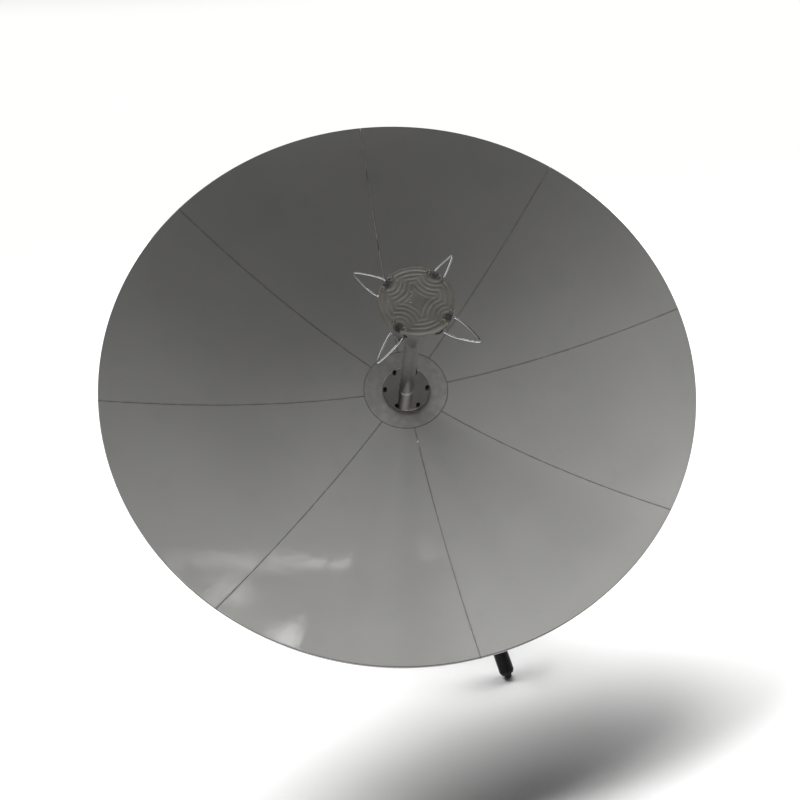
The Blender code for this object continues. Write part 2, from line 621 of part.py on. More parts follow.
def build_head(azimuth_place, surfaces):
    """The fixed head: a turned housing with three clevises for the legs."""
    floor = HEAD_BOTTOM + 0.016
    housing = [(0.0300, HEAD_BOTTOM), (0.150, HEAD_BOTTOM), (HEAD_RADIUS, HEAD_BOTTOM + 0.020),
               (HEAD_RADIUS, HEAD_TOP - 0.003), (HEAD_RADIUS - 0.003, HEAD_TOP),
               (0.112, HEAD_TOP), (0.112, HEAD_TOP - 0.018), (0.150, HEAD_TOP - 0.030),
               (0.150, floor), (0.044, floor), (0.044, HEAD_TOP), (0.0300, HEAD_TOP)]
    head = finish("tripod_head", to_mesh(turned(housing, 30)), surfaces["casting"], None,
                  azimuth_place)
    plate_in, plate_out = 0.0285 + GAP, 0.0405
    for leg in range(LEGS):
        turn = about_z(LEG_PHASE + leg * math.tau / LEGS)
        arm = block((0.156, -0.0430, LEG_HINGE_HEIGHT - 0.034),
                    (LEG_HINGE_RADIUS - 0.040, 0.0430, LEG_HINGE_HEIGHT + 0.034), None, turn)
        boolean(head, finish(f"head_arm_{leg + 1}", to_mesh(arm), None, None, azimuth_place),
                'UNION')
        for side in (-1, 1):
            low, high = sorted((side * plate_in, side * plate_out))
            outline = wrapped([(LEG_HINGE_RADIUS, LEG_HINGE_HEIGHT, 0.026),
                               (LEG_HINGE_RADIUS - 0.045, LEG_HINGE_HEIGHT - 0.027, 0.004),
                               (LEG_HINGE_RADIUS - 0.045, LEG_HINGE_HEIGHT + 0.027, 0.004)],
                              14)
            upright = turn @ Matrix(((1, 0, 0, 0), (0, 0, 1, 0), (0, 1, 0, 0), (0, 0, 0, 1)))
            ear = prism(outline, low, high, None, upright)
            boolean(head, finish(f"head_ear_{leg + 1}_{'ab'[side > 0]}", to_mesh(ear), None,
                                 None, azimuth_place), 'UNION')
        hinge = turn @ Matrix.Translation((LEG_HINGE_RADIUS, 0, LEG_HINGE_HEIGHT)) @ ALONG_Y
        bore = rod(0.0064, -0.06, 0.06, 10, None, hinge)
        boolean(head, finish(f"head_bore_{leg + 1}", to_mesh(bore), None, None, azimuth_place))
        pin = turned([(0, -0.0475), (0.0095, -0.0475), (0.0095, -plate_out - GAP),
                      (0.0060, -plate_out - GAP), (0.0060, plate_out + GAP),
                      (0.0095, plate_out + GAP), (0.0095, 0.0455), (0, 0.0455)],
                     10, None, hinge)
        finish(f"leg_hinge_pin_{leg + 1}", to_mesh(pin), surfaces["steel"], None, azimuth_place)

    race = [(0.120, HEAD_TOP + GAP), (0.164, HEAD_TOP + GAP), (0.164, TABLE_BOTTOM - GAP),
            (0.120, TABLE_BOTTOM - GAP)]
    finish("azimuth_bearing", to_mesh(turned(race, 28)), surfaces["steel"], None, azimuth_place)

    towards = about_z(LEG_PHASE + math.radians(60))
    centre = Vector(azimuth_place) + Vector((0, 0, LEG_HINGE_HEIGHT))
    knob_axis = empty("lock_knob_axis", centre)
    place = towards @ Matrix.Translation((0.1705, 0, 0)) @ ALONG_X
    knob = turned([(0, -0.020), (0.0055, -0.020), (0.0055, 0.010), (0.014, 0.012), (0.020, 0.016),
                   (0.020, 0.034), (0.017, 0.038), (0, 0.038)], 18, None, place)
    finish("azimuth_lock_knob", to_mesh(knob), surfaces["black"], knob_axis)
    bore = rod(0.0059, -0.024, 0.02, 14, None, place)
    boolean(head, finish("lock_bore", to_mesh(bore), None, None, centre))


def build_leg(number, surfaces, azimuth_place):
    """A telescopic leg in its own frame: the hinge at 0 and the leg down -Z."""
    turn = about_z(LEG_PHASE + number * math.tau / LEGS)
    hinge = Vector(azimuth_place) + turn @ Vector((LEG_HINGE_RADIUS, 0, LEG_HINGE_HEIGHT))
    lean = turn @ Matrix.Rotation(-LEG_TILT, 4, 'Y')
    axle = empty(f"leg_axis_{number + 1}", hinge, lean.to_3x3())

    tube_end = -0.400
    tube = [(0, -0.045), (0.0200, -0.045), (LEG_TUBE, -0.052), (LEG_TUBE, tube_end + 0.034),
            (0.0345, tube_end + 0.032), (0.0345, tube_end + 0.002), (0.0325, tube_end),
            (LEG_BORE, tube_end), (LEG_BORE, -0.060), (0, -0.060)]
    leg = finish(f"leg_tube_{number + 1}", to_mesh(turned(tube, 16)), surfaces["anodised"], axle)
    eye = wrapped([(0, 0, 0.024), (-0.016, -0.046, 0.003), (0.016, -0.046, 0.003)], 14)
    upright = Matrix(((1, 0, 0, 0), (0, 0, 1, 0), (0, 1, 0, 0), (0, 0, 0, 1)))
    knuckle = prism(eye, -0.0285, 0.0285, None, upright)
    boolean(leg, finish(f"leg_knuckle_{number + 1}", to_mesh(knuckle), None, axle), 'UNION')
    bore = rod(0.0064, -0.05, 0.05, 10, None, ALONG_Y)
    boolean(leg, finish(f"leg_bore_{number + 1}", to_mesh(bore), None, axle))
    lug = block((0.0220, -0.0300, tube_end + 0.006), (0.0460, -0.0180, tube_end + 0.030))
    boolean(leg, finish(f"leg_lug_{number + 1}", to_mesh(lug), None, axle), 'UNION')

    lever_axis = empty(f"clamp_axis_{number + 1}", (0.0410, -0.0120, tube_end + 0.018),
                       parent=axle)
    grip = wrapped([(0, 0, 0.0050), (0.001, 0.012, 0.0050), (-0.004, 0.046, 0.0035)], 16)
    finish(f"leg_clamp_lever_{number + 1}", to_mesh(prism(grip, -0.0110, 0.0110)),
           surfaces["black"], lever_axis)

    slide_axis = empty(f"extension_axis_{number + 1}", (0, 0, 0), parent=axle)
    bottom = -LEG_LENGTH + 0.012
    inner = EXTENSION - 0.0025
    extension = [(inner, bottom), (EXTENSION - 0.001, bottom), (EXTENSION, bottom + 0.001),
                 (EXTENSION, -0.230), (inner, -0.230)]
    finish(f"leg_extension_{number + 1}", to_mesh(turned(extension, 18)), surfaces["anodised"],
           slide_axis)
    nub = [(FOOT_NUB * math.sin(angle), -LEG_LENGTH - FOOT_NUB * math.cos(angle))
           for angle in (math.radians(30) * step for step in range(4))]
    plug = inner - 0.0010
    foot = [(0, nub[0][1])] + nub[1:] + [
        (FOOT_NUB, bottom - 0.010), (0.0190, bottom - 0.008), (EXTENSION - 0.001, bottom - GAP),
        (plug, bottom - GAP), (plug, bottom + 0.030), (0, bottom + 0.030)]
    finish(f"leg_foot_{number + 1}", to_mesh(turned(foot, 14)), surfaces["rubber"], slide_axis)


# ---------------------------------------------------------------- assembly

def main():
    for old in list(bpy.data.objects):
        bpy.data.objects.remove(old, do_unlink=True)
    surfaces = {
        "gelcoat": material("gelcoat", (0.42, 0.42, 0.41), 0.16, 0.0),
        "aluminium": material("aluminium", (0.42, 0.42, 0.41), 0.38, 0.8),
        "machined": material("machined", (0.62, 0.61, 0.58), 0.28, 1.0),
        "polished": material("polished", (0.38, 0.37, 0.35), 0.12, 1.0),
        "chrome": material("chrome", (0.85, 0.85, 0.85), 0.06, 1.0),
        "steel": material("steel", (0.55, 0.54, 0.52), 0.30, 1.0),
        "bronze": material("bronze", (0.55, 0.38, 0.18), 0.35, 1.0),
        "casting": material("casting", (0.10, 0.10, 0.10), 0.55, 0.3),
        "painted": material("painted", (0.30, 0.30, 0.30), 0.45, 0.2),
        "anodised": material("anodised", (0.012, 0.012, 0.013), 0.35, 0.4),
        "black": material("black", (0.015, 0.015, 0.015), 0.45, 0.0),
        "rubber": material("rubber", (0.012, 0.012, 0.012), 0.85, 0.0),
    }
    azimuth_place = (0, AZIMUTH_AXIS_Y, 0)
    azimuth = empty("azimuth_axis", azimuth_place)
    tilt = Matrix.Rotation(math.radians(90) - REST_ELEVATION, 3, 'X')
    elevation = empty("elevation_axis", (0, AZIMUTH_AXIS_Y, PIVOT_HEIGHT), tilt)

    build_head(azimuth_place, surfaces)
    for number in range(LEGS):
        build_leg(number, surfaces, azimuth_place)
    pinion_y, pinion_z = build_turntable(azimuth, surfaces)
    build_crank(azimuth, surfaces, pinion_y, pinion_z)
    build_brake(azimuth, surfaces)
    build_bracket(elevation, surfaces)
    hub = build_reflector(elevation, surfaces)
    build_feed(elevation, surfaces, hub)


main()
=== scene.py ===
"""Looks of the eight-petal reflector antenna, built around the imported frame. Metres, +Z up."""

import math

import bmesh
import bpy
from mathutils import Matrix, Vector, geometry


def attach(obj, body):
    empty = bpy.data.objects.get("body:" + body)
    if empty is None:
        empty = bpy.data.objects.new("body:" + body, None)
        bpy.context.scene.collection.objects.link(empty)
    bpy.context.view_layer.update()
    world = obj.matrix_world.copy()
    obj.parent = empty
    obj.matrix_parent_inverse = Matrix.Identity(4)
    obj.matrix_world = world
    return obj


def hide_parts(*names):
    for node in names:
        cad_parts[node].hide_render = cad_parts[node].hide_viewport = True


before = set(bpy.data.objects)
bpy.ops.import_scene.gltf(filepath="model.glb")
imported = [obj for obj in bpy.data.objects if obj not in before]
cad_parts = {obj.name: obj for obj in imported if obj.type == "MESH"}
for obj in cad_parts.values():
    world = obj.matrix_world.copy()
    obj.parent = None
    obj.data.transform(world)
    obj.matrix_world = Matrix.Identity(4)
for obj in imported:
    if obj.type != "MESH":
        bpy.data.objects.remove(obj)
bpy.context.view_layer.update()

# The CAD's own driving sizes
AZIMUTH_Y = 0.308
PIVOT = 0.766
OFFSET = 0.34
REST_ELEVATION = math.radians(38)
FOCAL = 0.7
RIM = 0.9
SHELL = 0.004
FLANGE_DEPTH = 0.026
SEAM_GAP = 0.0012
PLATE = 0.14
HUB = 0.185
HUB_BACK = -0.075
FEED_PHASE = math.radians(47.8)
FLANGE_FRONT = 0.01
COLUMN = 0.0238
DISC = 0.107
DISC_FRONT = 0.5976
CLAMP = 0.0976
HARNESS = 0.468
CONNECTOR_LEVEL = -0.045
LOOP_HEIGHT = 0.558
SECTOR_TEETH, SECTOR_PITCH = 72, 0.144
PINION_TEETH, PINION_PITCH = 18, 0.036
PINION_DROP = math.radians(10)
PINION_Y = (SECTOR_PITCH + PINION_PITCH) * math.cos(PINION_DROP)
PINION_Z = PIVOT - (SECTOR_PITCH + PINION_PITCH) * math.sin(PINION_DROP)
CRANK = 0.1
LEG_PHASE = math.radians(-69.8)
HINGE_RADIUS = 0.296
HINGE_HEIGHT = 0.515
FOOT_RADIUS, FOOT_BALL = 0.54, 0.012
LEG_LENGTH = math.hypot(FOOT_RADIUS - HINGE_RADIUS, HINGE_HEIGHT - FOOT_BALL)
LEG_TILT = math.atan2(FOOT_RADIUS - HINGE_RADIUS, HINGE_HEIGHT - FOOT_BALL)
HEAD_BOTTOM, HEAD_TOP = 0.455, 0.555
TABLE_BOTTOM, TABLE_TOP = 0.5668, 0.585
TABLE_RADIUS = 0.19
GAP = 0.0003

QUARTER = math.tau / 4


def spin(angle, axis='Z'):
    return Matrix.Rotation(angle, 4, axis)


def move(x, y, z):
    return Matrix.Translation((x, y, z))


STILL = Matrix.Identity(4)
AZIMUTH = move(0, AZIMUTH_Y, 0)
ELEVATION = move(0, AZIMUTH_Y, PIVOT) @ spin(QUARTER - REST_ELEVATION, 'X')
REFLECTOR = ELEVATION @ move(0, 0, OFFSET)
ALONG_X = spin(QUARTER, 'Y')
ALONG_Y = spin(-QUARTER, 'X')
BACKWARDS = spin(math.pi, 'X')
# A flat outline's x, y and depth become y, z and x, or x, z and y
SIDEWAYS = Matrix(((0, 0, 1, 0), (1, 0, 0, 0), (0, 1, 0, 0), (0, 0, 0, 1)))
UPRIGHT = Matrix(((1, 0, 0, 0), (0, 0, 1, 0), (0, 1, 0, 0), (0, 0, 0, 1)))
HINGES = [AZIMUTH @ spin(LEG_PHASE + leg * math.tau / 3) @ move(HINGE_RADIUS, 0, HINGE_HEIGHT)
          for leg in range(3)]


def dish(radius):
    return radius * radius / (4 * FOCAL)


# ---------------------------------------------------------------- materials

class Tree:
    """A node tree with short ways to add and join nodes."""

    def __init__(self, tree):
        self.tree = tree

    def put(self, kind, values=(), **settings):
        node = self.tree.nodes.new(kind)
        for key, value in settings.items():
            setattr(node, key, value)
        for key, value in dict(values).items():
            self.join(value, node.inputs[key])
        return node

    def join(self, value, socket):
        if isinstance(value, bpy.types.NodeSocket):
            self.tree.links.new(value, socket)
        elif socket.type == 'RGBA':
            socket.default_value = (*value, 1.0)
        else:
            socket.default_value = value

    def math(self, operation, *values):
        return self.put("ShaderNodeMath", enumerate(values), operation=operation).outputs[0]

    def span(self, value, low, high, to_low=0.0, to_high=1.0):
        return self.put("ShaderNodeMapRange", {0: value, 1: low, 2: high, 3: to_low, 4: to_high},
                        interpolation_type='SMOOTHSTEP').outputs[0]


class Nodes(Tree):
    """A new material's nodes."""

    def __init__(self, name):
        self.material = bpy.data.materials.new(name)
        self.material.use_nodes = True
        super().__init__(self.material.node_tree)
        self.shader = self.tree.nodes["Principled BSDF"]
        self.coordinates = self.put("ShaderNodeTexCoord").outputs["Object"]

    def stretched(self, stretch):
        return self.put("ShaderNodeMapping", {"Vector": self.coordinates,
                                              "Scale": stretch}).outputs[0]

    def noise(self, scale, detail=3.0, stretch=None, roughness=0.5):
        vector = self.stretched(stretch) if stretch else self.coordinates
        return self.put("ShaderNodeTexNoise", {"Vector": vector, "Scale": scale, "Detail": detail,
                                               "Roughness": roughness}).outputs[0]

    def lines(self, value, scale, detail=2.0):
        """Noise along one number: fine parallel marks wherever that number is constant."""
        return self.put("ShaderNodeTexNoise", {"W": value, "Scale": scale, "Detail": detail},
                        noise_dimensions='1D').outputs[0]

    def from_axis(self):
        """Distance from the piece's own Z axis."""
        flat = self.stretched((1, 1, 0))
        return self.put("ShaderNodeVectorMath", {0: flat}, operation='LENGTH').outputs["Value"]

    def height(self):
        return self.put("ShaderNodeSeparateXYZ", {0: self.coordinates}).outputs["Z"]

    def attribute(self, name):
        return self.put("ShaderNodeAttribute", attribute_name=name).outputs["Fac"]

    def blend(self, share, first, second):
        return self.put("ShaderNodeMix", {0: share, 6: first, 7: second},
                        data_type='RGBA').outputs[2]

    def stain(self, tone, mask, share, colour):
        """The tone with a share of another colour where the mask is."""
        return self.blend(self.math('MULTIPLY', mask, share), tone, colour)

    def bumps(self, *reliefs):
        target = self.shader.inputs["Normal"]
        for value, depth in reversed(reliefs):
            node = self.put("ShaderNodeBump", {"Height": value, "Distance": depth, "Strength": 1.0})
            self.join(node.outputs[0], target)
            target = node.inputs["Normal"]

    def set(self, **values):
        names = {"colour": "Base Color", "metal": "Metallic", "rough": "Roughness", "ior": "IOR",
                 "specular": "Specular IOR Level", "through": "Transmission Weight"}
        for key, value in values.items():
            self.join(value, self.shader.inputs[names[key]])
        return self.material


def shade(colour, factor):
    return tuple(min(1.0, channel * factor) for channel in colour)


def gelcoat():
    """Sprayed and polished: orange peel, slow waves, faint wiping marks, dust by the seams."""
    n = Nodes("gelcoat_gloss")
    base = (0.112, 0.1105, 0.107)
    dust_colour = (0.15, 0.144, 0.13)
    grime_colour = (0.06, 0.056, 0.05)
    tone = n.blend(n.span(n.noise(2.3, 3.0), 0.3, 0.7), shade(base, 0.955), shade(base, 1.035))
    tone = n.stain(tone, n.span(n.noise(14.0, 5.0, roughness=0.6), 0.52, 0.78), 0.3,
                   shade(base, 0.86))
    dust = n.span(n.noise(55.0, 6.0, roughness=0.7), 0.56, 0.8)
    tone = n.stain(tone, dust, 0.18, dust_colour)
    near_seam = n.span(n.attribute("seam"), 0.0, 0.007, 1.0, 0.0)
    grime = n.math('MULTIPLY', near_seam, n.span(n.noise(38.0, 4.0), 0.3, 0.62))
    tone = n.stain(tone, grime, 0.32, grime_colour)
    wiped = n.noise(6.0, 5.0, stretch=(1.0, 4.0, 1.0), roughness=0.62)
    rough = n.math('ADD', n.span(wiped, 0.35, 0.72, 0.05, 0.1), n.math('MULTIPLY', dust, 0.06))
    rough = n.math('ADD', rough, n.math('MULTIPLY', grime, 0.18))
    n.bumps((n.noise(5.5, 2.0), 0.0011), (n.noise(34.0, 2.0), 0.0001),
            (n.noise(260.0, 2.0), 0.00002))
    return n.set(colour=tone, rough=rough, ior=1.46, specular=0.2)


def moulded(name, colour, rough=0.45, grain=420.0, depth=0.00005, vary=0.06):
    """Plastic or rubber from a textured mould, with handled, slightly shinier patches."""
    n = Nodes(name)
    dust_colour = (0.13, 0.12, 0.1)
    patch = n.noise(18.0, 4.0, roughness=0.6)
    tone = n.blend(n.span(patch, 0.35, 0.7), shade(colour, 0.8), shade(colour, 1.28))
    dust = n.span(n.noise(90.0, 6.0, roughness=0.72), 0.58, 0.8)
    tone = n.stain(tone, dust, 0.16, dust_colour)
    n.bumps((n.noise(grain, 2.0), depth), (n.noise(30.0, 3.0), depth * 2))
    return n.set(colour=tone, rough=n.span(patch, 0.3, 0.75, rough + vary, rough - vary))


def coated(name, colour, rough, grain, depth):
    """Textured paint or powder coat with a few chips down to the metal and settled dirt."""
    n = Nodes(name)
    bare_colour = (0.3, 0.29, 0.28)
    broad = n.noise(7.0, 4.0)
    tone = n.blend(n.span(broad, 0.3, 0.72), shade(colour, 0.86), shade(colour, 1.12))
    dirt = n.span(n.noise(26.0, 6.0, roughness=0.68), 0.54, 0.76)
    tone = n.stain(tone, dirt, 0.3, shade(colour, 0.62))
    chip = n.span(n.noise(120.0, 7.0, roughness=0.75), 0.715, 0.735)
    tone = n.blend(chip, tone, bare_colour)
    n.bumps((n.noise(grain, 3.0), depth), (n.math('SUBTRACT', 1.0, chip), 0.00006))
    smooth = n.span(broad, 0.3, 0.7, rough - 0.05, rough + 0.08)
    return n.set(colour=tone, rough=n.math('ADD', smooth, n.math('MULTIPLY', dirt, 0.1)))


def bare_metal(name, colour, rough, marks, scale=1400.0, depth=0.000012, stain=0.35):
    """Bare or anodised metal. marks is ring, turned, length or mixed: how its fine lines run."""
    n = Nodes(name)
    if marks == "ring":
        line = n.lines(n.from_axis(), scale)
    elif marks == "turned":
        line = n.lines(n.height(), scale)
    elif marks == "length":
        line = n.noise(scale * 0.25, 3.0, stretch=(1.0, 1.0, 0.012))
    else:
        line = n.noise(scale * 0.1, 5.0, roughness=0.65)
    cloud = n.noise(22.0, 5.0, roughness=0.6)
    spots = n.span(n.noise(75.0, 6.0, roughness=0.7), 0.6, 0.76)
    tone = n.blend(n.span(cloud, 0.3, 0.72), shade(colour, 0.88), shade(colour, 1.08))
    tone = n.stain(tone, n.span(line, 0.35, 0.7), 0.35, shade(colour, 0.8))
    tone = n.stain(tone, spots, stain, shade(colour, 0.55))
    total = n.math('ADD', n.span(line, 0.25, 0.75, rough * 0.82, rough * 1.22),
                   n.math('MULTIPLY', spots, 0.12))
    total = n.math('ADD', total, n.span(cloud, 0.4, 0.75, 0.0, 0.05))
    n.bumps((line, depth), (n.noise(40.0, 3.0), depth * 1.5))
    return n.set(colour=tone, rough=total, metal=1.0)


def machined_face():
    """Milled plate: fine cutter marks that follow the pocketed contours."""
    n = Nodes("machined_face")
    cut = n.attribute("cut")
    colour = (0.35, 0.341, 0.313)
    line = n.lines(cut, 2600.0, 3.0)
    arcs = n.lines(n.math('ADD', cut, n.math('MULTIPLY', n.noise(60.0, 1.0), 0.002)), 700.0)
    tone = n.blend(n.span(n.noise(24.0, 5.0), 0.3, 0.7), shade(colour, 0.86), shade(colour, 1.1))
    tone = n.stain(tone, n.span(line, 0.4, 0.7), 0.3, shade(colour, 0.72))
    n.bumps((line, 0.00001), (arcs, 0.00002))
    return n.set(colour=tone, rough=n.span(arcs, 0.3, 0.7, 0.38, 0.48), metal=1.0)


def clear_dome():
    n = Nodes("level_glass")
    haze = n.noise(60.0, 4.0)
    n.bumps((haze, 0.00002))
    return n.set(colour=(0.9, 0.95, 0.88), rough=n.span(haze, 0.3, 0.8, 0.03, 0.12),
                 through=0.92, ior=1.46)


MAT = {
    "gelcoat": gelcoat(),
    "aluminium": bare_metal("column_satin", (0.54, 0.535, 0.52), 0.33, "length", 1600.0, 0.000006,
                            0.25),
    "machined": machined_face(),
    "turned": bare_metal("turned_aluminium", (0.38, 0.376, 0.36), 0.3, "turned", 1500.0),
    "polished": bare_metal("flange_polished", (0.5, 0.48, 0.46), 0.045, "ring", 1100.0,
                           0.000002, 0.2),
    "chrome": bare_metal("wire_polished", (0.52, 0.52, 0.53), 0.07, "mixed", 900.0, 0.000002, 0.08),
    "steel": bare_metal("ground_steel", (0.46, 0.455, 0.44), 0.3, "mixed", 1500.0),
    "steel_ring": bare_metal("turned_steel", (0.47, 0.465, 0.45), 0.27, "ring", 1300.0),
    "zinc": bare_metal("zinc_plate", (0.36, 0.36, 0.352), 0.34, "mixed", 700.0, 0.00002, 0.3),
    "nut": bare_metal("nickel_brass", (0.36, 0.315, 0.29), 0.26, "mixed", 600.0, 0.000008, 0.2),
    "bronze": bare_metal("bearing_bronze", (0.5, 0.335, 0.155), 0.34, "turned", 1200.0),
    "casting": coated("casting_powder", (0.026, 0.026, 0.027), 0.52, 210.0, 0.00014),
    "painted": coated("mount_paint", (0.096, 0.098, 0.099), 0.42, 330.0, 0.00008),
    "anodised": bare_metal("black_anodised", (0.02, 0.02, 0.021), 0.34, "length", 1500.0,
                           0.00001, 0.25),
    "black": moulded("moulded_black", (0.016, 0.016, 0.017)),
    "screw": bare_metal("black_oxide", (0.03, 0.029, 0.028), 0.3, "mixed", 900.0, 0.00001, 0.2),
    "rubber": moulded("rubber_foot", (0.014, 0.014, 0.014), 0.8, 260.0, 0.0001, 0.05),
    "cable": moulded("cable_jacket", (0.012, 0.012, 0.013), 0.5, 520.0, 0.00003, 0.05),
    "ink": moulded("scale_paint", (0.7, 0.7, 0.67), 0.55, 300.0, 0.00002, 0.04),
    "vial": moulded("level_fluid", (0.33, 0.52, 0.06), 0.2, 100.0, 0.00001, 0.03),
    "glass": clear_dome(),
}


# ---------------------------------------------------------------- shapes

def arc(centre, radius, start, stop, steps):
    return [(centre[0] + radius * math.cos(start + (stop - start) * step / steps),
             centre[1] + radius * math.sin(start + (stop - start) * step / steps))
            for step in range(steps + 1)]


def soften(outline, radius, steps=3, sharp=18.0):
    """Round a closed outline's corners. A point may give its own radius as a third number."""
    points = [Vector(point[:2]) for point in outline]
    count = len(points)
    made = []
    for index, point in enumerate(points):
        own = outline[index][2] if len(outline[index]) > 2 else radius
        back = points[index - 1] - point
        ahead = points[(index + 1) % count] - point
        if abs(point.x) < 1e-7 or own <= 0 or min(back.length, ahead.length) < 1e-7:
            made.append(point)
            continue
        turn = math.pi - back.angle(ahead)
        if turn < math.radians(sharp):
            made.append(point)
            continue
        cut = min(own * math.tan(turn / 2), 0.45 * back.length, 0.45 * ahead.length)
        start, end = point + back.normalized() * cut, point + ahead.normalized() * cut
        for step in range(steps + 1):
            t = step / steps
            made.append(start * (1 - t) ** 2 + point * 2 * t * (1 - t) + end * t * t)
    return [tuple(point) for point in made]


def wrapped(circles, steps=48):
    """The convex outline around (x, y, radius) circles."""
    points = sorted({point for x, y, radius in circles
                     for point in arc((x, y), radius, 0, math.tau * (1 - 1 / steps), steps - 1)})
    chains = []
    for ordered in (points, points[::-1]):
        chain = []
        for point in ordered:
            while len(chain) > 1:
                (ax, ay), (bx, by) = chain[-2], chain[-1]
                if (bx - ax) * (point[1] - ay) - (by - ay) * (point[0] - ax) > 1e-12:
                    break
                chain.pop()
            chain.append(point)
        chains += chain[:-1]
    return chains


def turned(profile, sides=64, work=None, place=STILL, shape=None):
    """Turn a closed (radius, height) outline about Z. shape(radius, height, angle) may change
    the radius, for flutes and knurls."""
    work = work or bmesh.new()
    rings = []
    for radius, height in profile:
        if abs(radius) < 1e-7:
            rings.append([work.verts.new(place @ Vector((0, 0, height)))])
            continue
        ring = []
        for side in range(sides):
            angle = math.tau * side / sides
            far = shape(radius, height, angle) if shape else radius
            ring.append(work.verts.new(
                place @ Vector((far * math.cos(angle), far * math.sin(angle), height))))
        rings.append(ring)
    for index, ring in enumerate(rings):
        after = rings[(index + 1) % len(rings)]
        if len(ring) == 1 and len(after) == 1:
            continue
        for side in range(sides):
            corners = [ring[side % len(ring)], ring[(side + 1) % len(ring)],
                       after[(side + 1) % len(after)], after[side % len(after)]]
            work.faces.new(list(dict.fromkeys(corners)))
    return work


def lathe(profile, rounding, steps, sides, work=None, place=STILL, shape=None):
    """Turn an outline with its corners rounded."""
    return turned(soften(profile, rounding, steps), sides, work, place, shape)


def sleeve(inner, outer, low, high, rounding, sides, work=None, place=STILL, steps=2):
    """A washer, a sleeve or, from radius 0, a pin."""
    profile = [(inner, low), (outer, low), (outer, high), (inner, high)]
    return lathe(profile, rounding, steps, sides, work, place)


def rod(radius, low, high, sides=32, work=None, place=STILL):
    return turned([(0, low), (radius, low), (radius, high), (0, high)], sides, work, place)


def prism(outline, low, high, work=None, place=STILL):
    work = work or bmesh.new()
    floor = [work.verts.new(place @ Vector((x, y, low))) for x, y in outline]
    roof = [work.verts.new(place @ Vector((x, y, high))) for x, y in outline]
    work.faces.new(floor[::-1])
    work.faces.new(roof)
    for index in range(len(outline)):
        after = (index + 1) % len(outline)
        work.faces.new([floor[index], floor[after], roof[after], roof[index]])
    return work


def block(low, high, work=None, place=STILL):
    outline = [(low[0], low[1]), (high[0], low[1]), (high[0], high[1]), (low[0], high[1])]
    return prism(outline, low[2], high[2], work, place)


def smooth_path(points, steps):
    """A curve through all the points, with steps spans between each two."""
    points = [Vector(point) for point in points]
    ends = [points[0] * 2 - points[1]] + points + [points[-1] * 2 - points[-2]]
    made = []
    for index in range(1, len(ends) - 2):
        a, b, c, d = ends[index - 1:index + 3]
        for step in range(steps):
            t = step / steps
            made.append(0.5 * (2 * b + (c - a) * t + (2 * a - 5 * b + 4 * c - d) * t * t
                               + (3 * b - a - 3 * c + d) * t ** 3))
    return made + [points[-1]]


def smooth_profile(points, steps):
    """The same for an outline's (radius, height) points."""
    path = smooth_path([(radius, 0, height) for radius, height in points], steps)
    return [(point.x, point.z) for point in path]


def swept(path, radius, sides=16, work=None, place=STILL):
    """A round rod along a list of points, with rounded ends."""
    work = work or bmesh.new()
    points = [Vector(point) for point in path]
    rings = []
    normal = None
    for index, point in enumerate(points):
        before, after = points[max(index - 1, 0)], points[min(index + 1, len(points) - 1)]
        tangent = (after - before).normalized()
        normal = tangent.orthogonal() if normal is None else normal - tangent * normal.dot(tangent)
        normal.normalize()
        across = tangent.cross(normal)
        rings.append([work.verts.new(place @ (point + radius * (
            normal * math.cos(math.tau * side / sides)
            + across * math.sin(math.tau * side / sides)))) for side in range(sides)])
    for ring, after in zip(rings, rings[1:]):
        for side in range(sides):
            turn = (side + 1) % sides
            work.faces.new([ring[side], ring[turn], after[turn], after[side]])
    work.faces.new(rings[0][::-1])
    work.faces.new(rings[-1])
    return work


def hexagon(across, low, high, work, place=STILL, chamfer=0.0007):
    """A bolt head or nut, chamfered at its upper end."""
    radius = across / math.sqrt(3)
    profile = [(0, low), (radius, low), (radius, high - chamfer * 0.6), (radius - chamfer, high),
               (0, high)]
    return turned(profile, 6, work, place)


def bolt(work, place, across=0.013, head=0.0055, flat=0.012, stud=0.0, stud_radius=0.003):
    """Washer, hexagon and, for a nut, the end of its stud, standing on z = 0."""
    thick, tip = 0.0016, 0.0006
    sleeve(0, flat, 0, thick, 0.0004, 32, work, place)
    hexagon(across, thick, thick + head, work, place)
    if stud:
        top = thick + head + stud
        turned([(0, 0.003), (stud_radius, 0.003), (stud_radius, top - tip),
                (stud_radius - tip, top), (0, top)], 20, work, place)
    return work


# ---------------------------------------------------------------- pieces

def to_mesh(work):
    bmesh.ops.recalc_face_normals(work, faces=work.faces)
    mesh = bpy.data.meshes.new("mesh")
    work.to_mesh(mesh)
    work.free()
    return mesh


def linked(name, data):
    made = bpy.data.objects.new(name, data)
    bpy.context.scene.collection.objects.link(made)
    return made


def applied(item, *tools):
    """The item's mesh with its modifiers applied. The item and its tools are removed."""
    depsgraph = bpy.context.evaluated_depsgraph_get()
    mesh = bpy.data.meshes.new_from_object(item.evaluated_get(depsgraph))
    for spare in (item, *tools):
        bpy.data.objects.remove(spare, do_unlink=True)
    return mesh


